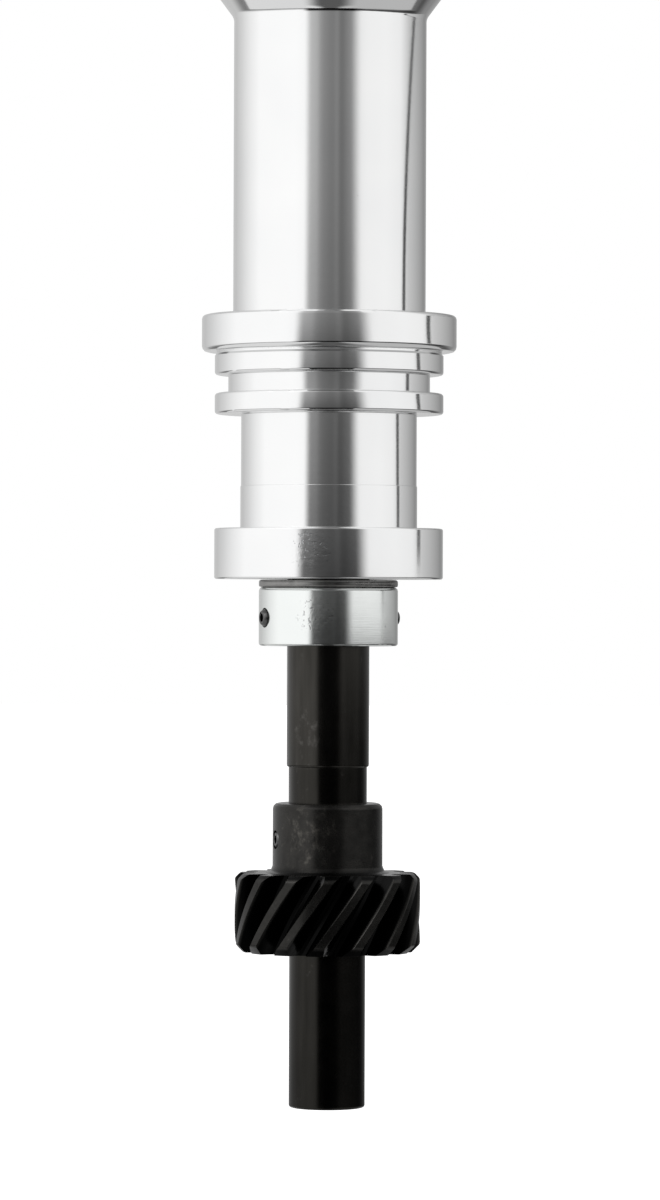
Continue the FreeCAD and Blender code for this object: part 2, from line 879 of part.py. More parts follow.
def pickup_coil():
    """The wound bobbin round the core, with square end plates."""
    start = pickup_y + coil_setback
    bobbin = rod(coil_r - coil_groove, start, start + coil_length)
    for low in (start, start + coil_length - coil_flange):
        bobbin = bobbin.fuse(Part.makeBox(coil_r * 2, coil_r * 2, coil_flange,
                                          V(-coil_r, -coil_r, low)))
    bobbin = bobbin.cut(rod(core_r, start - overcut, start + coil_length + overcut))
    return lying(bobbin, 90, z_pickup)


def pickup_magnet():
    """The disc magnet behind the bracket, on the end of the core."""
    start = pickup_y + core_length
    return lying(rod(magnet_r, start, start + magnet_length), 90, z_pickup)


def pickup_screws():
    """The two screws of the pickup bracket."""
    screws = []
    for place in pickup_screw_places():
        screws.append(hex_screw(pickup_screw_r, pickup_screw_length, pickup_screw_flats,
                                pickup_screw_head_height, z_floor + bracket_thickness, place))
    return Part.makeCompound(screws)


def lead_grommet():
    """The rubber grommet in the bowl wall."""
    near = bowl_inner_r - edge_break
    grommet = turned([
        (grommet_bore_r, near - grommet_lip), (grommet_inner_r, near - grommet_lip),
        (grommet_inner_r, near), (grommet_hole_r, near), (grommet_hole_r, bowl_r),
        (grommet_outer_r, bowl_r), (grommet_outer_r, bowl_r + grommet_lip),
        (grommet_bore_r, bowl_r + grommet_lip),
    ])
    return lying(grommet, 90, z_grommet)


def tower_places():
    """The eight points round the cap where the outer towers stand."""
    return [at(tower_circle_r, 360.0 / towers * (i + 0.5), 0) for i in range(towers)]


def cap():
    """The moulded cap: a cover with a lip in the bowl, two ears and nine towers."""
    z_band = z_rim + cap_band_height
    outer_r = cap_inner_r + cap_wall
    shell = turned([
        (0, z_roof), (cap_inner_r, z_roof),
        (cap_inner_r, z_rim - cap_lip_depth), (cap_lip_r, z_rim - cap_lip_depth),
        (cap_lip_r, z_rim), (bowl_r, z_rim),
        (bowl_r, z_band), (outer_r, z_band),
        (outer_r, z_cap_top, cap_shoulder), (0, z_cap_top),
    ])
    for place in tower_places():
        shell = shell.fuse(rod(tower_r, z_cap_top, z_tower_top, place))
    shell = shell.fuse(rod(tower_r, z_cap_top, z_centre_top))
    seat = z_rim + cap_ear_height
    for place in cap_screw_places():
        ear = rod(ear_r, z_rim, seat, place)
        shell = shell.fuse(ear.cut(rod(cap_lip_r, z_rim, seat)))
        shell = shell.cut(rod(cap_screw_r + cap_screw_room, z_rim - overcut, seat + overcut,
                              place))
        shell = shell.cut(rod(cap_screw_flats / 2 + cap_screw_head_room, seat, z_cap_top, place))
    for place in tower_places() + [V(0, 0, 0)]:
        shell = shell.cut(rod(electrode_r, z_roof - overcut, z_centre_top + overcut, place))
    return shell.removeSplitter()


def terminal(low, tower_top, place):
    """A brass insert: the electrode below, the stem in the tower and the stud above it."""
    neck_top = tower_top + terminal_neck_height
    stem = rod(electrode_r, low, neck_top, place)
    return stem.fuse(rod(terminal_head_r, neck_top, neck_top + terminal_head_height, place))


def cap_terminals():
    """The inserts of the outer towers, whose lower ends face the rotor's blade."""
    pieces = []
    for place in tower_places():
        pieces.append(terminal(z_blade_top - electrode_drop, z_tower_top, place))
    return Part.makeCompound(pieces)


def centre_terminal():
    """The insert of the centre tower, above the carbon button."""
    return terminal(z_roof, z_centre_top, V(0, 0, 0))


def carbon_button():
    """The carbon contact under the centre insert, on which the rotor's leaf runs."""
    return turned([
        (0, z_contact_top + button_gap), (button_r, z_contact_top + button_gap, edge_break),
        (button_r, z_roof), (0, z_roof),
    ])


def cap_screws():
    """The two screws that hold the cap down."""
    seat = z_rim + cap_ear_height
    screws = []
    for place in cap_screw_places():
        screws.append(hex_screw(cap_screw_r, cap_screw_length, cap_screw_flats,
                                cap_screw_head_height, seat, place))
    return Part.makeCompound(screws)


pieces = {
    "housing": housing(),
    "lower_bushing": lower_bushing(),
    "upper_bushing": upper_bushing(),
    "drive_shaft": drive_shaft(),
    "thrust_washer": thrust_washer(),
    "thrust_collar": thrust_collar(),
    "collar_pin": collar_pin(),
    "drive_gear": drive_gear(),
    "gear_pin": gear_pin(),
    "advance_sleeve": advance_sleeve(),
    "reluctor": reluctor(),
    "weight_plate": weight_plate(),
    "weight_pins": weight_pins(),
    "weight_a": weight(0),
    "weight_b": weight(1),
    "centre_cam": centre_cam(),
    "stop_bushing": stop_bushing(),
    "spring_a": advance_spring(0),
    "spring_b": advance_spring(1),
    "rotor_posts": rotor_posts(),
    "rotor": rotor(),
    "rotor_blade": rotor_blade(),
    "rotor_contact": rotor_contact(),
    "rotor_screws": rotor_screws(),
    "pickup_bracket": pickup_bracket(),
    "pickup_core": pickup_core(),
    "pickup_coil": pickup_coil(),
    "pickup_magnet": pickup_magnet(),
    "pickup_screws": pickup_screws(),
    "lead_grommet": lead_grommet(),
    "cap": cap(),
    "cap_terminals": cap_terminals(),
    "centre_terminal": centre_terminal(),
    "carbon_button": carbon_button(),
    "cap_screws": cap_screws(),
}

os.makedirs("parts", exist_ok=True)
for name, shape in pieces.items():
    shape.exportStep("parts/" + name + ".step")
    print(name, shape.isValid(), len(shape.Solids), round(shape.Volume, 1))
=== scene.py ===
# %% [markdown]
# # An ignition distributor, dressed
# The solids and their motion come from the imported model. This lesson gives each piece the surface that
# a turned, ground, blackened or moulded part has, and lights it as a small product in a studio.
# We start by loading that model as a fixed frame, and keep its box, so that nothing we add stands outside it.

# %% The frame
import json
import math

import bmesh
import bpy
from mathutils import Matrix, Vector


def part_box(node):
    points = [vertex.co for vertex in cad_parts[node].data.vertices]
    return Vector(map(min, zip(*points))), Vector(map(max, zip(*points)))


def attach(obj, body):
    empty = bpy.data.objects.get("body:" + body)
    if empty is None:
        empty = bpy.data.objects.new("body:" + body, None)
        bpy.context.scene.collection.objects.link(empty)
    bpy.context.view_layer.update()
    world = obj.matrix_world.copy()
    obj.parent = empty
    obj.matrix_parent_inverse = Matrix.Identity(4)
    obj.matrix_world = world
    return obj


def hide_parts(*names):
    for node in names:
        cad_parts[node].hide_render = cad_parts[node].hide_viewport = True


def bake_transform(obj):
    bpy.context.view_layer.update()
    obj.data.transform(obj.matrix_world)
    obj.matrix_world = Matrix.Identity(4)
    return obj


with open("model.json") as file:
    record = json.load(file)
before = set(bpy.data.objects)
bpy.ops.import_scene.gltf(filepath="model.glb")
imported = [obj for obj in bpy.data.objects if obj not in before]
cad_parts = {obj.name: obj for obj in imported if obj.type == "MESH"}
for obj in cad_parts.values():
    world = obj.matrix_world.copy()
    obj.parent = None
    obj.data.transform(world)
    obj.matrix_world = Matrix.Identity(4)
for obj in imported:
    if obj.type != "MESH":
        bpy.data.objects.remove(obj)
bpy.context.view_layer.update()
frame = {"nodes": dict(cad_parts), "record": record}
MM = 0.001
mounts = {mount["name"]: mount for mount in frame["record"]["mounts"]}

# %% [markdown]
# ## Working as at a lathe
# Most of this object is turned. A turned piece starts as one point of its half section. Each extrude walks the
# point to the next corner, a vertex bevel eases the corners that a tool would break, and a spin sweeps the
# section round the shaft line. The corners are written in millimetres as (radius, height) or
# (radius, height, ease), so that the list reads like a turner's drawing.
# Selecting is done in code, by place, because an operator acts on all that is selected.

# %% Hands: selecting and editing
FINE_STEPS = 192
SMALL_STEPS = 64
NEAR = 1e-6


def deselect():
    """Nothing is selected, so that the next operator acts on one piece only."""
    if bpy.context.object and bpy.context.object.mode != "OBJECT":
        bpy.ops.object.mode_set(mode="OBJECT")
    bpy.ops.object.select_all(action="DESELECT")


def pick(piece):
    """One piece is selected and active."""
    deselect()
    piece.select_set(True)
    bpy.context.view_layer.objects.active = piece


def edit(piece, mode="VERT"):
    """Opens a piece for editing, with all of it selected."""
    pick(piece)
    bpy.ops.object.mode_set(mode="EDIT")
    bpy.ops.mesh.select_mode(type=mode)
    bpy.ops.mesh.select_all(action="SELECT")


def choose_points(piece, wanted):
    """In edit mode, selects the points for which wanted(place) is true."""
    bpy.ops.mesh.select_all(action="DESELECT")
    mesh = bmesh.from_edit_mesh(piece.data)
    for point in mesh.verts:
        point.select = bool(wanted(point.co))
    mesh.select_flush(True)
    bmesh.update_edit_mesh(piece.data)


def close_up(piece):
    """Merges doubled points, takes loose lines away and points all faces outwards."""
    edit(piece)
    bpy.ops.mesh.remove_doubles(threshold=NEAR)
    bpy.ops.mesh.delete_loose(use_verts=True, use_edges=True, use_faces=False)
    bpy.ops.mesh.select_all(action="SELECT")
    bpy.ops.mesh.normals_make_consistent(inside=False)
    bpy.ops.object.mode_set(mode="OBJECT")


# %% Hands: walking a section and spinning it
EASE_SEGMENTS = 3


def walk(name, corners, closed=True):
    """A piece that is only a line in the XZ plane, through corners given in mm, eased where they say."""
    deselect()
    bpy.ops.mesh.primitive_plane_add(size=MM)
    piece = bpy.context.object
    piece.name = name
    bpy.ops.object.mode_set(mode="EDIT")
    bpy.ops.mesh.merge(type="CENTER")
    here = Vector((0, 0, 0))
    for i, corner in enumerate(corners):
        spot = Vector((corner[0] * MM, 0, corner[1] * MM))
        if i == 0:
            bpy.ops.transform.translate(value=spot)
        else:
            bpy.ops.mesh.extrude_region_move(TRANSFORM_OT_translate={"value": spot - here})
        here = spot
    if closed:
        ends = [Vector((corners[i][0] * MM, 0, corners[i][1] * MM)) for i in (0, -1)]
        choose_points(piece, lambda at: any((at - end).length < NEAR for end in ends))
        bpy.ops.mesh.edge_face_add()
    for ease in sorted({corner[2] for corner in corners if len(corner) > 2}):
        eased = [Vector((c[0] * MM, 0, c[1] * MM)) for c in corners if len(c) > 2 and c[2] == ease]
        choose_points(piece, lambda at: any((at - spot).length < NEAR for spot in eased))
        bpy.ops.mesh.bevel(offset_type="OFFSET", offset=ease * MM, segments=EASE_SEGMENTS, affect="VERTICES")
    bpy.ops.object.mode_set(mode="OBJECT")
    return piece


def turned(name, corners, steps=FINE_STEPS):
    """A turned piece on the shaft line, from the corners of its closed half section."""
    piece = walk(name, corners)
    edit(piece)
    bpy.ops.mesh.spin(steps=steps, angle=2 * math.pi, use_auto_merge=True, center=(0, 0, 0), axis=(0, 0, 1))
    close_up(piece)
    return piece


# %% Hands: placing, joining and carving
TOOL_TURN = 2.6


def place(piece, move=(0, 0, 0), turn=(0, 0, 0)):
    """Turns a piece by degrees about the frame's axes, moves it by millimetres, and keeps that in its mesh."""
    pick(piece)
    bpy.ops.object.transform_apply(location=True, rotation=True, scale=True)
    piece.rotation_euler = [math.radians(angle) for angle in turn]
    piece.location = [step * MM for step in move]
    bpy.ops.object.transform_apply(location=True, rotation=True, scale=True)
    return piece


def copy_of(piece, name):
    """A second piece with its own mesh."""
    made = piece.copy()
    made.data = piece.data.copy()
    made.name = name
    bpy.context.collection.objects.link(made)
    return made


def joined(pieces, name):
    """Several pieces as one object. Their shells stay apart."""
    pick(pieces[0])
    for piece in pieces[1:]:
        piece.select_set(True)
    bpy.ops.object.join()
    pieces[0].name = name
    return pieces[0]


def cut_with(piece, tools, operation="DIFFERENCE"):
    """Carves a piece with others, or unites or intersects them, and takes the others away."""
    for tool in tools:
        boolean = piece.modifiers.new("cut", "BOOLEAN")
        boolean.operation = operation
        boolean.solver = "EXACT"
        boolean.object = tool
        pick(piece)
        bpy.ops.object.modifier_apply(modifier=boolean.name)
        bpy.data.objects.remove(tool)
    return piece


def cutter(corners, steps=SMALL_STEPS):
    """A turned cutting tool. Its facets are turned a little, to cross those of a piece on the same line."""
    return place(turned("cutter", corners, steps), turn=(0, 0, TOOL_TURN))


def round_bar(radius, low, high, steps=SMALL_STEPS):
    """A plain bar along Z between two heights in mm, used as a cutting tool."""
    return cutter([(0, low), (radius, low), (radius, high), (0, high)], steps)


def across(piece, turn, height):
    """Lays a piece made along Z down, pointing to a turn left or right of the front, at a height."""
    place(piece, turn=(90, 0, 0))
    return place(piece, move=(0, 0, height), turn=(0, 0, turn))


# %% [markdown]
# ## Shader maths in plain Python
# A finish is a small sum of masks. To write `0.2 + 0.3 * wear` instead of wiring Math nodes by hand, a
# socket is wrapped in a class whose operators add those nodes. All other nodes come from one method.
# Patterns read Object coordinates. Every object here sits at the origin, so these are real metres.

# %% Sockets as numbers
class Value:
    """A number that changes over a surface."""

    def __init__(self, finish, socket):
        self.finish = finish
        self.socket = socket

    def math(self, operation, *values):
        sockets = dict(enumerate(values))
        return self.finish.node("ShaderNodeMath", {"operation": operation}, sockets, 0)

    def __add__(self, other):
        return self.math("ADD", self, other)

    def __sub__(self, other):
        return self.math("SUBTRACT", self, other)

    def __rsub__(self, other):
        return self.math("SUBTRACT", other, self)

    def __mul__(self, other):
        return self.math("MULTIPLY", self, other)

    __radd__ = __add__
    __rmul__ = __mul__

    def between(self, low, high):
        """0 below low, 1 above high, and a soft step in between."""
        sockets = {"Value": self, "From Min": low, "From Max": high}
        return self.finish.node("ShaderNodeMapRange", {"interpolation_type": "SMOOTHSTEP"}, sockets, "Result")


class Finish:
    """A node tree being built, with its shader."""

    def __init__(self, tree):
        self.tree = tree
        self.tree.nodes.clear()

    def node(self, kind, settings, sockets, output):
        """One node: its settings first, then its sockets, and the output that is wanted, as a Value."""
        made = self.tree.nodes.new(kind)
        for key, setting in settings.items():
            if key == "stops":
                self.set_stops(made.color_ramp, setting)
            else:
                setattr(made, key, setting)
        for key, value in sockets.items():
            self.feed(made.inputs[key], value)
        return Value(self, made.outputs[output])

    def set_stops(self, ramp, stops):
        while len(ramp.elements) < len(stops):
            ramp.elements.new(1.0)
        for element, (position, tone) in zip(ramp.elements, stops):
            element.position = position
            element.color = (tone, tone, tone, 1)

    def feed(self, socket, value):
        if isinstance(value, Value):
            self.tree.links.new(value.socket, socket)
        else:
            socket.default_value = value

    def coordinates(self, scale=(1, 1, 1), kind="Object"):
        """Places on the piece, stretched by a scale for each axis."""
        source = self.node("ShaderNodeTexCoord", {}, {}, kind)
        return self.node("ShaderNodeMapping", {}, {"Vector": source, "Scale": scale}, "Vector")

    def noise(self, size, stretch=(1, 1, 1), detail=2.0, roughness=0.5):
        """Soft noise whose grains are about size mm across, divided by the stretch along each axis."""
        sockets = {"Vector": self.coordinates(stretch), "Scale": 1 / (size * MM), "Detail": detail,
                   "Roughness": roughness}
        return self.node("ShaderNodeTexNoise", {}, sockets, "Fac")

    def specks(self, size, share):
        """A few round specks about size mm apart, each covering a share of its cell."""
        sockets = {"Vector": self.coordinates(), "Scale": 1 / (size * MM)}
        distance = self.node("ShaderNodeTexVoronoi", {}, sockets, "Distance")
        return 1 - distance.between(share * 0.5, share)

    def larger(self, first, second):
        """The larger of two values."""
        return self.node("ShaderNodeMath", {"operation": "MAXIMUM"}, {0: first, 1: second}, 0)

    def axes(self):
        """The place on the piece as three numbers in metres: right, back and up."""
        split = self.tree.nodes.new("ShaderNodeSeparateXYZ")
        self.feed(split.inputs[0], self.coordinates())
        return [Value(self, split.outputs[axis]) for axis in "XYZ"]

    def around(self, middle, radius):
        """1 near a place given in mm, fading out at a radius in mm."""
        place_m = tuple(part * MM for part in middle)
        source = self.node("ShaderNodeTexCoord", {}, {}, "Object")
        away = self.node("ShaderNodeVectorMath", {"operation": "DISTANCE"}, {0: source, 1: place_m}, "Value")
        return 1 - away.between(radius * 0.4 * MM, radius * MM)

    def blend(self, mask, first, second):
        """A colour that goes from the first to the second with a mask."""
        sockets = {0: mask}
        for key, colour in ((6, first), (7, second)):
            sockets[key] = colour if isinstance(colour, Value) else (*colour, 1)
        return self.node("ShaderNodeMix", {"data_type": "RGBA"}, sockets, 2)

    def bump(self, height, depth, strength=1.0):
        """A normal from a height that spans depth mm."""
        sockets = {"Height": height, "Distance": depth * MM, "Strength": strength}
        return self.node("ShaderNodeBump", {}, sockets, "Normal")


def finish_named(name, build, **uniform):
    """A material whose even values are set on the shader and whose varied ones come from build(finish)."""
    material = bpy.data.materials.new(name)
    material.use_nodes = True
    finish = Finish(material.node_tree)
    shader = finish.tree.nodes.new("ShaderNodeBsdfPrincipled")
    output = finish.tree.nodes.new("ShaderNodeOutputMaterial")
    finish.tree.links.new(shader.outputs["BSDF"], output.inputs["Surface"])
    for key, value in {**uniform, **build(finish)}.items():
        finish.feed(shader.inputs[key.replace("_", " ")], value)
    return material


# %% [markdown]
# ## The turned and polished billet
# The housing is cut from a bar and polished in the lathe, so its scratches run round it. They are only
# microns deep: the mirror stays sharp from side to side and is smeared a little up and down.
# Noise stretched flat, fine along Z and long round the piece, gives those lines to bump and roughness.

# %% Finish: where the wear is
# Each spot has a middle and a radius in mm, on the front of its piece.
ring_knocks = ((-3.1, -19.6, -34.3), 4.4)
collar_knocks = ((-2.0, -11.9, -45.6), 4.4)
shank_rub = ((-3.7, -6.1, -66.8), 5.5)
hub_rub = ((-3.6, -8.8, -83.6), 7.5)


# %% Finish: billet
def billet(finish):
    scratch_depth = 0.0012
    lines = finish.noise(9.0, (1, 1, 60), 4.0, 0.65)
    fine = finish.noise(4.0, (1, 1, 120), 2.0, 0.6)
    waves = finish.noise(1.3, detail=3.0)
    haze = finish.noise(14.0)
    knocked = finish.around(*ring_knocks)
    dents = finish.noise(1.0, (1, 1, 1), 2.0, 0.6) * knocked
    nicks = finish.larger(finish.specks(7.0, 0.018), finish.noise(0.7).between(0.62, 0.66) * knocked)
    tone = finish.blend(haze, (0.86, 0.865, 0.87), (0.93, 0.93, 0.925))
    return {
        "Base_Color": finish.blend(nicks, tone, (0.55, 0.56, 0.57)),
        "Roughness": 0.045 + lines * 0.06 + haze * 0.03 + nicks * 0.2,
        "Normal": finish.bump(lines * 0.6 + fine * 0.4 + waves * 2.2 - nicks * 4 + dents * 10, scratch_depth),
    }


# %% [markdown]
# ## Bright, plated and blackened steel
# The collar is ground steel, a little darker and cooler than the aluminium. Screws and weights are
# zinc plated. Shaft and gear are black oxide: nearly black, with a soft oily sheen, mottled where
# oil has dried, and rubbed through to paler metal in a few spots.

# %% Finish: steels
def ground_steel(finish):
    lines = finish.noise(7.0, (1, 1, 50), 4.0, 0.65)
    haze = finish.noise(10.0)
    knocked = finish.around(*collar_knocks)
    dents = finish.noise(0.9, (1, 1, 0.5), 2.0, 0.6) * knocked
    nicks = finish.larger(finish.specks(4.0, 0.05), finish.noise(0.5).between(0.62, 0.66) * knocked)
    tone = finish.blend(haze, (0.84, 0.865, 0.855), (0.90, 0.92, 0.905))
    return {
        "Base_Color": finish.blend(nicks, tone, (0.45, 0.46, 0.46)),
        "Roughness": 0.06 + lines * 0.10 + haze * 0.05,
        "Normal": finish.bump(lines - nicks * 3 + dents * 9, 0.0018),
    }


def black_oxide(finish):
    """Oily black with streaks along the shaft. It is darker below the shoulder, where the gear is pressed on."""
    mottle = finish.noise(3.2, (1, 1, 1), 5.0, 0.6)
    cloud = finish.noise(11.0, (1, 1, 0.6), 3.0)
    grain = finish.noise(0.35, (1, 1, 1), 2.0)
    streaks = finish.noise(1.5, (1, 1, 0.08), 3.0, 0.6)
    handled = finish.around(*shank_rub) * 0.11
    rubbed = (finish.noise(1.7, (1, 1, 0.7), 7.0, 0.66) + handled).between(0.60, 0.84)
    height = finish.axes()[2]
    shank = height.between(-0.0725, -0.0713)
    light = (cloud + streaks) * 0.5 * (0.66 + shank * 0.34)
    dark = finish.blend(light, (0.006, 0.006, 0.005), (0.084, 0.080, 0.073))
    return {
        "Base_Color": finish.blend(rubbed * 0.42, dark, (0.17, 0.165, 0.155)),
        "Roughness": 0.13 + mottle * 0.11 + grain * 0.03,
        "Normal": finish.bump(grain * 0.4 + mottle * 0.6, 0.002),
    }


def worn_oxide_painted_shade(finish):
    """Black oxide rubbed by the mating teeth at the tips, with a near-black painted shade on the flanks, between
    the teeth and at their lower ends.
    """
    mottle = finish.noise(2.2, (1, 1, 1), 6.0, 0.65)
    grain = finish.noise(0.3, (1, 1, 1), 2.0)
    handled = finish.around(*hub_rub) * 0.12
    rubbed = (finish.noise(1.6, (1, 1, 0.8), 8.0, 0.70) + handled).between(0.58, 0.84)
    x, y, z = finish.axes()
    from_axis = x.math("SQRT", x * x + y * y)
    hub_foot, lower_edge, tip_radius = (-0.0904, -0.0888), (-0.1041, -0.1029), (0.01555, 0.01605)
    # Mask: 1 on the hub, the upper face and the tooth tips; 0 on the flanks, between the teeth and at the lower
    # ends, where the painted shade goes.
    outside_painted_shade = finish.larger(z.between(*hub_foot), from_axis.between(*tip_radius) * z.between(*lower_edge))
    dark = finish.blend(mottle, (0.011, 0.011, 0.011), (0.054, 0.052, 0.048))
    worn = finish.blend(rubbed * 0.5, dark, (0.18, 0.17, 0.15))
    return {
        # The near-black colour is painted shade on the tooth flanks, between the teeth and at their lower ends.
        "Base_Color": finish.blend(outside_painted_shade, (0.002, 0.002, 0.002), worn),
        "Roughness": 0.17 + mottle * 0.13 + grain * 0.04,
        "Normal": finish.bump(grain * 0.4 + mottle * 0.6, 0.010),
    }


# %% Finish: metals that only cloud
def clouded(size, tones, roughness, grain, depth, detail=3.0):
    """A metal between two tones, in clouds of a size in mm, with a fine grain."""
    def build(finish):
        cloud = finish.noise(size, detail=detail)
        return {
            "Base_Color": finish.blend(cloud, *tones),
            "Roughness": roughness[0] + cloud * roughness[1],
            "Normal": finish.bump(finish.noise(grain), depth),
        }
    return build


def rubbed_steel(*tones):
    """Oxide worn down to grey steel, as on rims that rub."""
    return clouded(1.6, tones, (0.20, 0.18), 0.3, 0.003, detail=4.0)


zinc_plate = clouded(3.0, ((0.60, 0.60, 0.57), (0.74, 0.74, 0.72)), (0.24, 0.12), 0.5, 0.004)
spring_wire_steel = clouded(2.0, ((0.36, 0.36, 0.37), (0.50, 0.50, 0.50)), (0.25, 0.12), 0.3, 0.003)
dark_magnet = clouded(2.5, ((0.10, 0.10, 0.11), (0.20, 0.20, 0.21)), (0.45, 0.15), 0.4, 0.01)

# %% [markdown]
# ## Bronze, brass, mouldings, rubber and carbon
# The bushings are pressed from bronze powder, so they are matt and finely pored. The terminals are turned
# brass, a little tarnished. The cap and rotor are glass-filled mouldings: a dark body with a soft gloss and
# a faint flow pattern. The grommet is matt rubber, and the button is pressed carbon.

# %% Finish: copper alloys
def sintered_bronze(finish):
    pores = finish.specks(0.5, 0.28)
    cloud = finish.noise(4.0, detail=3.0)
    tone = finish.blend(cloud, (0.42, 0.26, 0.13), (0.58, 0.38, 0.20))
    return {
        "Base_Color": finish.blend(pores, tone, (0.16, 0.10, 0.06)),
        "Roughness": 0.38 + cloud * 0.14 + pores * 0.2,
        "Normal": finish.bump(1 - pores, 0.012),
    }


def turned_brass(finish):
    lines = finish.noise(3.0, (1, 1, 24), 3.0)
    tarnish = finish.noise(2.6, detail=4.0).between(0.42, 0.72)
    tone = finish.blend(tarnish, (0.80, 0.60, 0.28), (0.56, 0.38, 0.17))
    return {
        "Base_Color": tone,
        "Roughness": 0.18 + lines * 0.12 + tarnish * 0.14,
        "Normal": finish.bump(lines, 0.003),
    }


# %% Finish: mouldings, rubber and carbon
def moulding(finish):
    flow = finish.noise(16.0, (1, 1, 0.5), 4.0)
    grain = finish.noise(0.6, detail=3.0)
    dust = finish.noise(5.0, detail=5.0).between(0.55, 0.8)
    tone = finish.blend(flow, (0.011, 0.011, 0.012), (0.024, 0.024, 0.026))
    return {
        "Base_Color": finish.blend(dust * 0.25, tone, (0.06, 0.06, 0.06)),
        "Roughness": 0.30 + grain * 0.10 + dust * 0.12,
        "Normal": finish.bump(grain, 0.010),
    }


def potted_bobbin(finish):
    cloud = finish.noise(1.5, detail=3.0)
    return {
        "Base_Color": finish.blend(cloud, (0.10, 0.045, 0.02), (0.20, 0.09, 0.035)),
        "Roughness": 0.28 + cloud * 0.15,
        "Normal": finish.bump(cloud, 0.02),
    }


def matt_rubber(finish):
    grain = finish.noise(0.4, detail=3.0)
    bloom = finish.noise(3.0, detail=3.0)
    return {
        "Base_Color": finish.blend(bloom, (0.012, 0.012, 0.012), (0.028, 0.028, 0.029)),
        "Roughness": 0.62 + grain * 0.15,
        "Normal": finish.bump(grain, 0.02),
    }


def pressed_carbon(finish):
    grain = finish.noise(0.3, detail=3.0)
    return {
        "Base_Color": finish.blend(grain, (0.015, 0.015, 0.016), (0.05, 0.05, 0.052)),
        "Roughness": 0.45 + grain * 0.2,
        "Normal": finish.bump(grain, 0.012),
    }


# %% The finishes by the record's slots
finishes = {
    "billet": finish_named("polished_billet", billet, Metallic=1.0),
    "bright_steel": finish_named("ground_steel", ground_steel, Metallic=1.0),
    "black_steel": finish_named("black_oxide", black_oxide, Metallic=1.0),
    "zinc_steel": finish_named("zinc_plate", zinc_plate, Metallic=1.0),
    "spring_steel": finish_named("spring_wire", spring_wire_steel, Metallic=1.0),
    "magnet": finish_named("dark_magnet", dark_magnet, Metallic=0.6),
    "bronze": finish_named("sintered_bronze", sintered_bronze, Metallic=1.0),
    "brass": finish_named("turned_brass", turned_brass, Metallic=1.0),
    "moulded_plastic": finish_named("dark_moulding", moulding),
    "coil_plastic": finish_named("potted_bobbin", potted_bobbin),
    "rubber": finish_named("matt_rubber", matt_rubber),
    "carbon": finish_named("pressed_carbon", pressed_carbon),
}
worn_black_painted_shade = finish_named("worn_black_oxide_painted_shade", worn_oxide_painted_shade, Metallic=0.9)
rim_steel = rubbed_steel((0.12, 0.12, 0.12), (0.46, 0.455, 0.44))
rubbed_grey = finish_named("rubbed_grey_steel", rim_steel, Metallic=1.0)
dull_pin = finish_named("dull_pin_steel", rubbed_steel((0.03, 0.03, 0.03), (0.20, 0.20, 0.20)), Metallic=1.0)
print("finishes:", len(finishes) + 3)


# %% Dressing a finished piece
def dress(piece, slot, body, *nodes, smooth=30, finish=None):
    """Gives a piece its shading, its finish (the slot's, unless one is given), the body it rides on and the
    nodes it stands for.
    """
    pick(piece)
    bpy.ops.object.shade_smooth_by_angle(angle=math.radians(smooth))
    weighted = piece.modifiers.new("weighted", "WEIGHTED_NORMAL")
    weighted.keep_sharp = True
    bpy.ops.object.modifier_apply(modifier=weighted.name)
    piece.data.materials.clear()
    piece.data.materials.append(finish or finishes[slot])
    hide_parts(*nodes)
    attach(piece, body)
    mesh = bmesh.new()
    mesh.from_mesh(piece.data)
    open_edges = sum(not edge.is_manifold for edge in mesh.edges)
    print(piece.name, len(piece.data.polygons), "faces,", open_edges, "open edges")
    mesh.free()
    return piece


# %% [markdown]
# ## The housing
# One bar of aluminium makes the whole housing, from the lowest pilot ring to the bowl under the cap. In a
# mirror finish every edge shows as a thin bright line, so each corner gets the ease that a file or a tool
# leaves. The lugs for the cap's screws are milled from the same bar, so they are united with the turned body
# and not laid on it.

# %% Housing: its section
housing_low, housing_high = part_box("housing")
pilot_r = mounts["upper_pilot"]["dims"]["r_mm"]
flange_top = mounts["clamp_face"]["pos_m"][2] / MM
z_end = housing_low.z / MM
z_rim = housing_high.z / MM
_, bushing_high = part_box("lower_bushing")
flanged_low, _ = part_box("upper_bushing")
lower_seat_r = bushing_high.x / MM
bowl_r = 41.99
bowl_inner_r = 38.2
bowl_floor = 85.99
column_r = 16.7
column_top = 57.9
cone_top = 92.09
column_bore_r = 8.95
upper_seat_r = 8.73
lower_ring_top = -30.6
barrel_r = 15.34
barrel_upper_r = 15.24
barrel_join = -23.25
barrel_top = -10.8
groove_r = 17.5
groove_low = -7.2
groove_high = -4.0
neck_r = pilot_r - 0.25
flange_r = 22.1

housing_section = [
    (lower_seat_r, z_end, 0.2), (pilot_r, z_end, 0.35), (pilot_r, lower_ring_top, 0.35),
    (barrel_r, lower_ring_top, 0.15), (barrel_r, barrel_join - 0.05, 0.05), (barrel_upper_r, barrel_join),
    (barrel_upper_r, barrel_top, 0.15), (pilot_r, barrel_top, 0.5), (pilot_r, groove_low, 0.5),
    (groove_r, groove_low, 0.15), (groove_r, groove_high, 0.15), (pilot_r, groove_high, 0.5),
    (pilot_r, -0.7), (neck_r, -0.35), (neck_r, 0), (flange_r, 0, 0.95), (flange_r, flange_top, 0.7),
    (column_r, flange_top, 0.3), (column_r, column_top, 0.6), (bowl_r, cone_top, 1.5),
    (bowl_r, z_rim, 0.5), (bowl_inner_r, z_rim, 0.3), (bowl_inner_r, 93.4, 3.0),
    (32.7, bowl_floor, 2.0), (upper_seat_r, bowl_floor),
    (upper_seat_r, flanged_low.z / MM), (column_bore_r, flanged_low.z / MM),
    (column_bore_r, bushing_high.z / MM), (lower_seat_r, bushing_high.z / MM),
]
housing_piece = turned("billet_body", housing_section)

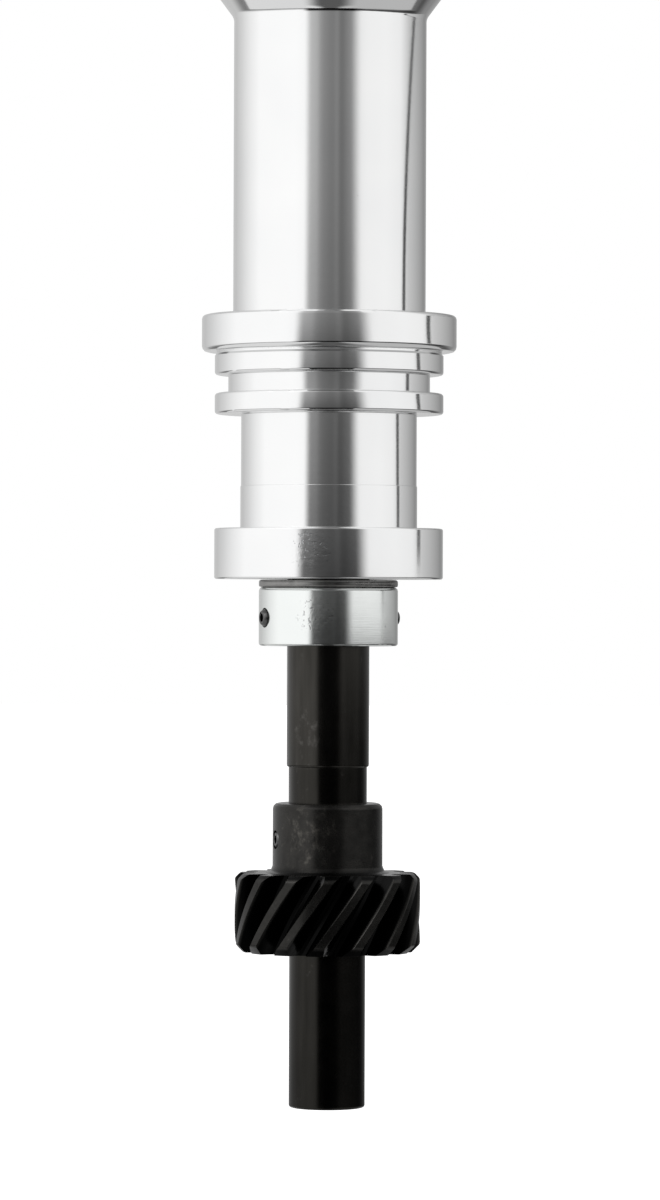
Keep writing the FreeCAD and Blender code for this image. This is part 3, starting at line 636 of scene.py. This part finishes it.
# %% Housing: lugs, tapped holes and the lead's hole
rim_step = 0.06
tapped_r = 2.2
lug_angle = 45.0
lug_radius = 43.6
lug_r = 5.4
lug_height = 12.0
grommet_low, grommet_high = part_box("lead_grommet")
grommet_z = (grommet_low.z + grommet_high.z) / 2 / MM


def at_lug(piece, which):
    """Moves a piece made on the shaft line out to one of the two lugs."""
    place(piece, move=(lug_radius, 0, 0))
    return place(piece, turn=(0, 0, lug_angle + 180 * which))


def lug(which):
    """A round lug with a flat foot, hollowed where it meets the bowl. Its top lies a hair under the rim."""
    foot, top = z_rim - lug_height, z_rim - rim_step
    made = turned("lug", [(0, foot), (lug_r, foot, 0.5), (lug_r, top, 0.4), (0, top)], SMALL_STEPS)
    at_lug(made, which)
    return cut_with(made, [round_bar(bowl_r - 1.9, z_rim - lug_height - 10, z_rim + 1, FINE_STEPS)])


for which in range(2):
    cut_with(housing_piece, [lug(which)], "UNION")
    cut_with(housing_piece, [at_lug(round_bar(tapped_r, z_rim - 9.0, z_rim + 1), which)])
cut_with(housing_piece, [across(round_bar(3.2, 36.0, 44.0), 180, grommet_z)])
dress(housing_piece, "billet", "housing", "housing")

# %% [markdown]
# ## Thrust washer, collar and their pin
# The collar is a ground ring, pinned through the shaft with a rolled pin. A rolled pin is a strip of spring
# steel bent into a tube, so it is hollow and has a slit: its dark end is the one detail on the collar.

# %% Collar and washer
collar_low, collar_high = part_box("thrust_collar")
washer_low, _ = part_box("thrust_washer")
shaft_r = 7.144
pin_r = 1.5875
collar_pin_turn = -65.8
collar_r = collar_high.x / MM
collar_pin_z = collar_high.z / MM - 5.35

washer_top = z_end - 0.12
washer_piece = turned("washer_ring", [
    (shaft_r + 0.03, washer_low.z / MM, 0.05), (collar_r, washer_low.z / MM, 0.3),
    (collar_r, washer_top, 0.4), (shaft_r + 0.03, washer_top, 0.05)])
dress(washer_piece, "black_steel", "shaft", "thrust_washer", finish=rubbed_grey)
collar_piece = turned("collar_ring", [
    (shaft_r + 0.01, collar_low.z / MM, 0.2), (collar_r, collar_low.z / MM, 0.45),
    (collar_r, collar_high.z / MM, 0.7), (shaft_r + 0.01, collar_high.z / MM, 0.2)])
hole = round_bar(pin_r + 0.12, -14, 14)
cut_with(collar_piece, [across(hole, collar_pin_turn, collar_pin_z)])
dress(collar_piece, "bright_steel", "shaft", "thrust_collar")


# %% Rolled pins
def rolled_pin(name, length, out):
    """A slit tube along Z with eased ends, moved outwards by a small amount."""
    half = length / 2
    bore_r, end_r, taper = pin_r - 0.9, pin_r - 0.45, 0.6
    pin = turned(name, [(bore_r, -half, 0.1), (end_r, -half, 0.1), (pin_r, -half + taper, 0.2),
                        (pin_r, half - taper, 0.2), (end_r, half, 0.1), (bore_r, half, 0.1)], SMALL_STEPS)
    deselect()
    bpy.ops.mesh.primitive_cube_add(size=1, scale=(2.4 * pin_r * MM, 0.3 * MM, (length + 2) * MM))
    slit = bpy.context.object
    place(slit)
    edit(slit)
    bpy.ops.transform.translate(value=(1.2 * pin_r * MM, 0, 0))
    bpy.ops.object.mode_set(mode="OBJECT")
    cut_with(pin, [slit])
    return place(pin, move=(0, 0, out), turn=(0, 0, 115))


collar_pin_piece = rolled_pin("collar_rolled_pin", 2 * collar_r + 1.75, -0.275)
across(collar_pin_piece, collar_pin_turn, collar_pin_z)
dress(collar_pin_piece, "black_steel", "shaft", "collar_pin", finish=dull_pin)

# %% [markdown]
# ## The drive shaft
# The shaft is ground, blackened and stepped: thick in the bushing, a little thinner where the gear is
# pressed on, thinner again at the tail that runs in the engine block. A hexagon socket in the tail
# drives the oil pump. The socket is a six-sided bar, pushed into the end and taken away.

# %% Shaft
shaft_low, shaft_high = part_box("drive_shaft")
gear_low, gear_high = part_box("drive_gear")
z_tail = shaft_low.z / MM
z_top = shaft_high.z / MM
tail_r = mounts["shaft_tail"]["dims"]["r_mm"]
gear_pin_turn = -72.0
gear_pin_z = gear_high.z / MM - 6.3
gear_seat_r = 6.8
seat_low, seat_high = -102.6, -71.9
relief_r = 6.35
relief_low = -11.4
sleeve_r = 4.7625
sleeve_low, sleeve_high = 87.69, 101.69
cam_seat_r = 4.2
shaft_section = [
    (0, z_tail), (tail_r, z_tail, 0.45), (tail_r, seat_low), (gear_seat_r, seat_low, 0.1),
    (gear_seat_r, seat_high, 0.1), (shaft_r, seat_high, 0.4), (shaft_r, relief_low, 0.2),
    (relief_r, relief_low), (relief_r, sleeve_low, 0.2), (sleeve_r, sleeve_low),
    (sleeve_r, sleeve_high, 0.1), (cam_seat_r, sleeve_high), (cam_seat_r, z_top, 0.4), (0, z_top),
]
shaft_piece = turned("shaft_body", shaft_section)
deselect()
socket_flats = 7.9375
hex_r = socket_flats / 2 / math.cos(math.radians(30))
bpy.ops.mesh.primitive_cylinder_add(vertices=6, radius=hex_r * MM, depth=16 * MM,
                                    location=(0, 0, (z_tail + 6) * MM))
cut_with(shaft_piece, [place(bpy.context.object)])
mouth = turned("mouth", [(0, z_tail - 1), (hex_r + 0.7, z_tail - 1), (hex_r + 0.2, z_tail), (3.9, z_tail + 0.9),
                         (0, z_tail + 0.9)], SMALL_STEPS)
cut_with(shaft_piece, [mouth])
for turn, height in ((collar_pin_turn, collar_pin_z), (gear_pin_turn, gear_pin_z)):
    cut_with(shaft_piece, [across(round_bar(pin_r + 0.02, -10, 10), turn, height)])
dress(shaft_piece, "black_steel", "shaft", "drive_shaft")

# %% [markdown]
# ## The drive gear
# The camshaft drives this gear, so its teeth are helical, cut with a hob. One section is walked tooth by
# tooth: each flank is an involute, the curve that a taut string unwinds from the base circle. Extruding that
# face in small steps and turning it a little each time gives the right-hand twist. A turned blank with
# chamfered faces then trims the tooth ends by intersection, as the lathe did before the teeth were cut.

# %% Gear: one section
teeth = 15
pitch_r = 14.48
outside_r = 16.1
root_r = 12.5
helix = math.radians(33.5)
pressure = math.atan(math.tan(math.radians(14.5)) / math.cos(helix))
base_r = pitch_r * math.cos(pressure)
gear_bottom = gear_low.z / MM
gear_top = gear_high.z / MM
gear_face_z = -90.3
tooth_turn = -14.5
tooth_pitch = 2 * math.pi / teeth


def half_tooth(radius):
    """Half of a tooth's thickness at a radius, as an angle."""
    here = math.acos(min(1.0, base_r / radius))
    return tooth_pitch / 4 + (math.tan(pressure) - pressure) - (math.tan(here) - here)


def flank():
    """(radius, half angle) from the root to the tip of a tooth, with a root fillet and a broken tip."""
    foot = half_tooth(base_r)
    fillet = ((0, 1.1), (0.12, 0.5), (0.55, 0.16))
    points = [(root_r + rise, foot + spread / root_r) for rise, spread in fillet]
    rings = 5
    for i in range(rings):
        radius = base_r + (outside_r - 0.15 - base_r) * (i + 0.5) / (rings - 0.5)
        points.append((radius, half_tooth(radius)))
    return points + [(outside_r + 0.2, half_tooth(outside_r) - 0.32 / outside_r)]


def gear_outline():
    """The corners of the whole section, as (x, y) in mm, with a tooth at angle 0."""
    corners = []
    for tooth in range(teeth):
        middle = tooth_pitch * tooth
        side = flank()
        for radius, half in side:
            corners.append((radius * math.cos(middle - half), radius * math.sin(middle - half)))
        for radius, half in reversed(side):
            corners.append((radius * math.cos(middle + half), radius * math.sin(middle + half)))
    return corners


# %% Gear: the twist
twist_steps = 14
over = 0.2
gear_height = gear_face_z - gear_bottom + 2 * over
twist = gear_height * math.tan(helix) / pitch_r
gear_piece = walk("gear_body", gear_outline())
edit(gear_piece)
bpy.ops.mesh.edge_face_add()
bpy.ops.object.mode_set(mode="OBJECT")
place(gear_piece, turn=(-90, 0, 0))
start_turn = -90 + tooth_turn - math.degrees(twist) / 2
place(gear_piece, move=(0, 0, gear_bottom - over), turn=(0, 0, start_turn))
edit(gear_piece, "FACE")
for step in range(twist_steps):
    bpy.ops.mesh.extrude_region_move(TRANSFORM_OT_translate={"value": (0, 0, gear_height / twist_steps * MM)})
    bpy.ops.transform.rotate(value=-twist / twist_steps, orient_axis="Z", center_override=(0, 0, 0))
close_up(gear_piece)

# %% Gear: the trimmed ends, the hub, the bore and the pin's hole
hub_r = 9.525
lower_chamfer = 1.4
upper_chamfer = 0.95
blank = turned("blank", [
    (0, gear_bottom), (outside_r - lower_chamfer, gear_bottom, 0.1),
    (outside_r, gear_bottom + lower_chamfer, 0.3), (outside_r, gear_face_z - upper_chamfer, 0.3),
    (outside_r - upper_chamfer, gear_face_z, 0.2), (0, gear_face_z)])
cut_with(gear_piece, [blank], "INTERSECT")
hub = turned("hub", [(0, gear_bottom + 0.15), (hub_r, gear_bottom + 0.15), (hub_r, gear_face_z - 0.15),
                     (hub_r + 1.2, gear_face_z - 0.15), (hub_r + 1.2, gear_face_z + 0.02),
                     (hub_r + 0.36, gear_face_z + 0.36), (hub_r + 0.02, gear_face_z + 1.2),
                     (hub_r, gear_top, 1.0), (0, gear_top)])
cut_with(gear_piece, [hub], "UNION")
cut_with(gear_piece, [round_bar(6.82, gear_bottom - 1, gear_top + 1, FINE_STEPS)])
cut_with(gear_piece, [across(round_bar(pin_r + 0.03, -12, 12), gear_pin_turn, gear_pin_z)])
close_up(gear_piece)
dress(gear_piece, "black_steel", "shaft", "drive_gear", smooth=28, finish=worn_black_painted_shade)
gear_pin_piece = rolled_pin("gear_rolled_pin", 2 * hub_r, 0)
across(gear_pin_piece, gear_pin_turn, gear_pin_z)
dress(gear_pin_piece, "black_steel", "shaft", "gear_pin", finish=dull_pin)

# %% [markdown]
# ## The cap
# The cap is one moulding: a cover with a lip that centres it in the bowl, two ears for the screws, and nine
# towers. Each tower is turned once, with the draft and the soft edges of a mould, copied to its place, and
# united with the cover.

# %% Cap: cover and towers
cap_low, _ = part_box("cap")
terminal_low, terminal_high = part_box("cap_terminals")
centre_low, centre_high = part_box("centre_terminal")
roof_z = centre_low.z / MM
cap_top_z = roof_z + 4.0
lip_r = bowl_inner_r - 0.1
band_z = z_rim + 7.0
cover_r = 40.5
cover = turned("cap_body", [
    (0, roof_z), (lip_r - 2, roof_z, 2.0), (lip_r - 2, cap_low.z / MM, 0.3), (lip_r, cap_low.z / MM, 0.3),
    (lip_r, z_rim, 0.1), (bowl_r, z_rim, 0.3), (bowl_r, band_z, 0.6), (cover_r, band_z, 0.6),
    (cover_r, cap_top_z, 2.0), (0, cap_top_z)])
tower_circle = 30.4
tower_r = 6.4
tower_top_z = terminal_high.z / MM - 7.8
centre_top_z = centre_high.z / MM - 7.8
hole_r = 1.95
TOWER_TURN = 1.2


def tower(top):
    """A drafted tower with a soft foot, a raised ring at its mouth and rounded edges."""
    made = turned("tower", [
        (0, cap_top_z - 1.0), (7.1, cap_top_z - 1.0), (7.1, cap_top_z + 0.05), (tower_r, cap_top_z + 1.1, 0.6),
        (tower_r - 0.35, top - 3.2, 0.2), (tower_r, top - 2.7, 0.3), (tower_r, top, 1.0),
        (3.4, top, 0.3), (3.2, top - 0.8, 0.2), (0, top - 0.8)], SMALL_STEPS)
    return place(made, turn=(0, 0, TOWER_TURN))


def tower_angle(which):
    return 360 / 8 * (which + 0.5)


for which in range(8):
    outer = place(tower(tower_top_z), move=(tower_circle, 0, 0))
    cut_with(cover, [place(outer, turn=(0, 0, tower_angle(which)))], "UNION")
cut_with(cover, [tower(centre_top_z)], "UNION")

# %% Cap: ears and holes
seat_z = z_rim + 9.0
ear_low = z_rim + rim_step
spot_face = 0.05
clear_r = 2.4
head_room_r = 5.0
for which in range(2):
    ear = turned("ear", [(0, ear_low), (lug_r, ear_low, 0.4), (lug_r, seat_z, 0.5), (0, seat_z)], SMALL_STEPS)
    ear = cut_with(at_lug(ear, which), [round_bar(bowl_r - 2.5, z_rim - 1, seat_z + 1, FINE_STEPS)])
    cut_with(cover, [ear], "UNION")
    stepped = cutter([(0, z_rim - 1), (clear_r, z_rim - 1), (clear_r, seat_z - spot_face),
                      (head_room_r, seat_z - spot_face), (head_room_r, cap_top_z + 1), (0, cap_top_z + 1)])
    cut_with(cover, [at_lug(stepped, which)])
for which in range(8):
    hole = place(round_bar(hole_r, roof_z - 1, tower_top_z + 1), move=(tower_circle, 0, 0))
    cut_with(cover, [place(hole, turn=(0, 0, tower_angle(which)))])
cut_with(cover, [round_bar(hole_r, roof_z - 1, centre_top_z + 1)])
close_up(cover)
dress(cover, "moulded_plastic", "housing", "cap")


# %% Terminals
def terminal(name, low, top):
    """A turned brass insert: an electrode, a stem, and a stud with a groove for the lead's snap ring."""
    stem_r, flange_r, stud_r = 1.9, 3.0, 3.2
    return turned(name, [
        (0, low), (stem_r, low, 0.5), (stem_r, top - 0.75), (flange_r, top - 0.75), (flange_r, top + 0.5, 0.2),
        (stem_r, top + 0.5, 0.2), (stem_r, top + 3.6, 0.3), (stud_r, top + 4.2, 0.4), (stud_r, top + 5.6, 0.4),
        (2.6, top + 7.8, 0.7), (0, top + 7.8)], SMALL_STEPS)


first = terminal("plug_terminals", terminal_low.z / MM, tower_top_z)
place(first, move=(tower_circle, 0, 0))
place(first, turn=(0, 0, tower_angle(0)))
others = [place(copy_of(first, "other"), turn=(0, 0, 45 * which)) for which in range(1, 8)]
dress(joined([first, *others], "plug_terminals"), "brass", "housing", "cap_terminals")
dress(terminal("coil_terminal", roof_z, centre_top_z), "brass", "housing", "centre_terminal")


# %% Cap screws
def hexagon_screw(name, thread_r, length, flats, head, seat):
    """A screw with a washer face and a hexagon head whose corners are turned off."""
    corner_r = flats / 2 / math.cos(math.radians(30))
    deselect()
    bpy.ops.mesh.primitive_cylinder_add(vertices=6, radius=corner_r * MM, depth=(head - 0.4) * MM,
                                        location=(0, 0, (seat + 0.4 + (head - 0.4) / 2) * MM))
    made = bpy.context.object
    made.name = name
    place(made)
    dome = turned("dome", [(0, seat), (corner_r + 0.2, seat), (corner_r + 0.2, seat + head - 0.7),
                           (flats / 2 - 0.3, seat + head), (0, seat + head)], SMALL_STEPS)
    cut_with(made, [dome], "INTERSECT")
    shank = turned("shank", [(0, seat - length), (thread_r, seat - length, 0.5), (thread_r, seat),
                             (flats / 2 + 0.45, seat, 0.15), (flats / 2 + 0.45, seat + 0.45, 0.15),
                             (0, seat + 0.45)], SMALL_STEPS)
    return cut_with(made, [shank], "UNION")


cap_screw = hexagon_screw("cap_hexagon_screws", tapped_r, 17.0, 7.94, 3.2, seat_z)
second_screw = at_lug(copy_of(cap_screw, "other"), 1)
both_screws = joined([at_lug(cap_screw, 0), second_screw], "cap_hexagon_screws")
dress(both_screws, "zinc_steel", "housing", "cap_screws")

# %% Grommet
grommet_piece = turned("lead_bush", [
    (2.1, 36.1, 0.3), (3.9, 36.1, 0.7), (3.9, 37.6, 0.3), (3.15, 37.6), (3.15, 42.05), (4.6, 42.05, 0.3),
    (4.5, 43.6, 0.7), (2.1, 43.6, 0.4)], SMALL_STEPS)
dress(across(grommet_piece, 180, grommet_z), "rubber", "housing", "lead_grommet")

# %% [markdown]
# ## The advance springs
# Each spring pulls a weight's pin towards a post on the cam. It is one wire: a hook, a close coil and
# another hook. A curve with a round bevel is that wire, and its points are worked out turn by turn.

# %% Springs
spring_low, spring_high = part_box("spring_a")
spring_z = (spring_low.z + spring_high.z) / 2 / MM
wire_r = 0.3
coil_r = 1.55
pin_place = Vector((21.0, 0, spring_z))
post_turn = math.radians(255)
post_place = Vector((10.5 * math.cos(post_turn), 10.5 * math.sin(post_turn), spring_z))


def loop_round(middle, start, sweep, radius, count):
    """Points of an open hook round a post, in the level plane."""
    angles = [start + sweep * i / count for i in range(count + 1)]
    return [middle + Vector((radius * math.cos(a), radius * math.sin(a), 0)) for a in angles]


def spring_points():
    along = (post_place - pin_place).normalized()
    side = Vector((-along.y, along.x, 0))
    up = Vector((0, 0, 1))
    heading = math.atan2(along.y, along.x)
    length = (post_place - pin_place).length
    coil_start, coil_end = 0.24 * length, 0.78 * length
    points = loop_round(pin_place, heading + math.pi * 1.6, -math.pi * 1.5, 2.0 + wire_r, 10)
    turns = int((coil_end - coil_start) / (2.15 * wire_r))
    for i in range(turns * 12 + 1):
        angle = 2 * math.pi * i / 12
        away = side * math.cos(angle) + up * math.sin(angle)
        reach = coil_start + (coil_end - coil_start) * i / (turns * 12)
        points.append(pin_place + along * reach + away * coil_r)
    return points + loop_round(post_place, heading + math.pi * 0.9, -math.pi * 1.5, 1.3 + wire_r, 10)


def spring(name, which):
    curve = bpy.data.curves.new(name, "CURVE")
    curve.dimensions = "3D"
    curve.bevel_depth = wire_r * MM
    curve.bevel_resolution = 2
    curve.use_fill_caps = True
    points = spring_points()
    line = curve.splines.new("POLY")
    line.points.add(len(points) - 1)
    for spot, point in zip(line.points, points):
        spot.co = (*(point * MM), 1)
    wire = bpy.data.objects.new(name, curve)
    bpy.context.collection.objects.link(wire)
    pick(wire)
    bpy.ops.object.convert(target="MESH")
    wire = bpy.context.object
    place(wire, turn=(0, 0, 180 * which))
    pick(wire)
    bpy.ops.object.shade_smooth()
    wire.data.materials.clear()
    wire.data.materials.append(finishes["spring_steel"])
    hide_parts("spring_b" if which else "spring_a")
    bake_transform(wire)
    print(name, len(wire.data.polygons), "faces")


spring("coil_spring_a", 0)
spring("coil_spring_b", 1)

# %% [markdown]
# ## The pieces kept from the frame
# Everything else already has its true shape, so it keeps its mesh and gets its finish by the slot that the
# record names.

# %% Finishes for the kept nodes
slots = {part["node"]: part["material_slot"] for part in frame["record"]["subparts"]}
for name, node in frame["nodes"].items():
    node.data.materials.clear()
    node.data.materials.append(finishes[slots[name]])
print("kept nodes:", sum(not node.hide_render for node in frame["nodes"].values()))

# %% [markdown]
# ## The studio
# A polished part shows its surroundings more than itself. Photographers stand it in a tent of paper with a
# bright softbox at each side and a dark gap in front, where the camera looks in. Here the tent is one open
# tube whose brightness changes round it. It is seen by reflections only: plain light comes from the world
# and a lamp, and the camera sees a white background.

# %% Studio: floor
floor_z = -0.30
tent_r = 0.60


def looks_at_background(finish):
    """1 for rays that should see the white background, straight on or in a reflection."""
    rays = finish.tree.nodes.new("ShaderNodeLightPath")
    camera, glossy, through = [Value(finish, rays.outputs[name]) for name in
                               ("Is Camera Ray", "Is Glossy Ray", "Is Transmission Ray")]
    return finish.larger(finish.larger(camera, glossy), through)


def pale_floor():
    material = bpy.data.materials.new("pale_floor")
    material.use_nodes = True
    finish = Finish(material.node_tree)
    paper = finish.node("ShaderNodeBsdfDiffuse", {}, {"Color": (0.88, 0.88, 0.88, 1)}, "BSDF")
    glow = finish.node("ShaderNodeEmission", {}, {"Strength": looks_at_background(finish) * 0.6}, "Emission")
    both = finish.node("ShaderNodeAddShader", {}, {0: paper, 1: glow}, "Shader")
    output = finish.tree.nodes.new("ShaderNodeOutputMaterial")
    finish.feed(output.inputs["Surface"], both)
    return material


deselect()
bpy.ops.mesh.primitive_circle_add(vertices=96, radius=12, fill_type="NGON", location=(0, 0, floor_z))
floor = bpy.context.object
floor.name = "floor"
floor.data.materials.append(pale_floor())

# %% Studio: the reflection tent
# Brightness round the tent, by the angle to the right of the front. The dark gap in front is added apart,
# because it narrows and brightens with the height, and so is the seam at the right softbox's far edge.
tent_tones = [
    (-180, 0.62), (-150, 0.56), (-130, 0.70), (-110, 0.90), (-92, 1.05), (-40, 1.07), (30, 0.86), (44, 0.95),
    (70, 0.97), (92, 0.92), (108, 0.60), (130, 0.43), (152, 0.27), (168, 0.38), (180, 0.62),
]
gap_tones = [
    (-40, 0.56), (-22, 0.53), (-15, 0.45), (-11, 0.32), (-7, 0.26), (0, 0.215), (4, 0.21), (7, 0.24),
    (9, 0.235), (12, 0.175), (15, 0.175), (21, 0.24), (28, 0.32), (40, 0.42),
]
gap_span = 80


def brightness_at(finish, angle, tones, span):
    """The brightness for an angle, from a list that covers span degrees with the front in its middle."""
    stops = [(degrees / span + 0.5, tone) for degrees, tone in tones]
    return finish.node("ShaderNodeValToRGB", {"stops": stops}, {"Fac": angle * (1 / span) + 0.5}, "Color")


def tent_paper():
    material = bpy.data.materials.new("tent_paper")
    material.use_nodes = True
    finish = Finish(material.node_tree)
    x, y, z = finish.axes()
    angle = x.math("ARCTAN2", x, y * -1) * (180 / math.pi)
    paper = brightness_at(finish, angle, tent_tones, 360)
    height = z.between(-0.12, 0.12)
    front = angle * (0.86 + height * 0.14)
    gap = front.between(-30.5, -21.5) * (1 - front.between(23.5, 38))
    gap_tone = height * brightness_at(finish, front, gap_tones, gap_span)
    # The seam leans to the right as it rises, steeply near the top, and ends above the collar.
    rise = finish.larger((z + 0.05) * (1 / 0.175), 0.0)
    seam_turn = 101.5 - z.between(-0.02, 0.07) * 5.5 + rise * rise * rise * rise * 25
    from_seam = angle.math("ABSOLUTE", angle - seam_turn)
    seam = (1 - from_seam.between(1.9, 3.6)) * z.between(-0.038, -0.028)
    seam_shade = 1 - seam * (0.76 + height * 0.2)
    # Low on the right, a dark card keeps the blackened shaft dark.
    right_side = angle.between(10, 40) * (1 - angle.between(115, 160))
    card = right_side * (1 - z.between(-0.066, -0.054)) * z.between(-0.25, -0.20)
    low = 0.3 + z.between(-0.25, -0.10) * 0.7
    wall = paper * seam_shade * (1 - card * 0.91) * low
    # The tent's floor is light to the left, darker to the right and darkest in the middle.
    below = (1 - x.between(-0.16, -0.05)) * 0.65 + x.between(0.05, 0.16) * 0.4 + 0.10
    is_wall = z.between(-0.294, -0.290)
    tone = (wall * (1 - gap) + gap_tone * gap) * is_wall + below * (1 - is_wall)
    glow = finish.node("ShaderNodeEmission", {}, {"Strength": tone}, "Emission")
    output = finish.tree.nodes.new("ShaderNodeOutputMaterial")
    finish.feed(output.inputs["Surface"], glow)
    return material


deselect()
tent_height = 1.1
tent_middle = floor_z + 0.005 + tent_height / 2
bpy.ops.mesh.primitive_cylinder_add(vertices=192, radius=tent_r, depth=tent_height, location=(0, 0, tent_middle))
tent = place(bpy.context.object)
tent.name = "reflection_tent"
tent.data.materials.append(tent_paper())
tent.visible_camera = False
tent.visible_diffuse = False
tent.visible_shadow = False

# %% Studio: world and lamp
world = bpy.data.worlds.new("white_studio")
bpy.context.scene.world = world
world.use_nodes = True
sky = Finish(world.node_tree)
background_mask = looks_at_background(sky)
brightness = 0.72 + background_mask * 0.28
back = sky.node("ShaderNodeBackground", {}, {"Color": (1, 1, 1, 1), "Strength": brightness}, "Background")
world_output = sky.tree.nodes.new("ShaderNodeOutputWorld")
sky.feed(world_output.inputs["Surface"], back)


def softbox(name, place_m, watts, size):
    """A square lamp that faces the object's middle."""
    lamp = bpy.data.lights.new(name, "AREA")
    lamp.energy = watts
    lamp.size = size
    holder = bpy.data.objects.new(name, lamp)
    bpy.context.collection.objects.link(holder)
    holder.location = place_m
    holder.rotation_euler = (Vector((0, 0, 0)) - Vector(place_m)).to_track_quat("-Z", "Y").to_euler()
    holder.visible_camera = False
    return holder


softbox("key_softbox", (-0.75, -0.55, 0.75), 6.0, 0.5)

# %% [markdown]
# ## The camera
# The photograph looks level along +Y from about a metre, with a long lens: the rings stay almost flat. The
# lens and the distance follow from how much the ellipses of the rings open from the horizon up and down.

# %% Camera
lens = bpy.data.cameras.new("camera")
lens.lens = 159
lens.sensor_width = 36
lens.clip_start = 0.05
lens.clip_end = 60
camera = bpy.data.objects.new("camera", lens)
bpy.context.collection.objects.link(camera)
aside, away, eye_height, roll = 0.00028, 0.92, -0.043, -0.2
camera.location = (aside, -away, eye_height)
camera.rotation_euler = (math.radians(90), math.radians(roll), 0)
bpy.context.scene.camera = camera
bpy.context.scene.view_settings.view_transform = "Standard"
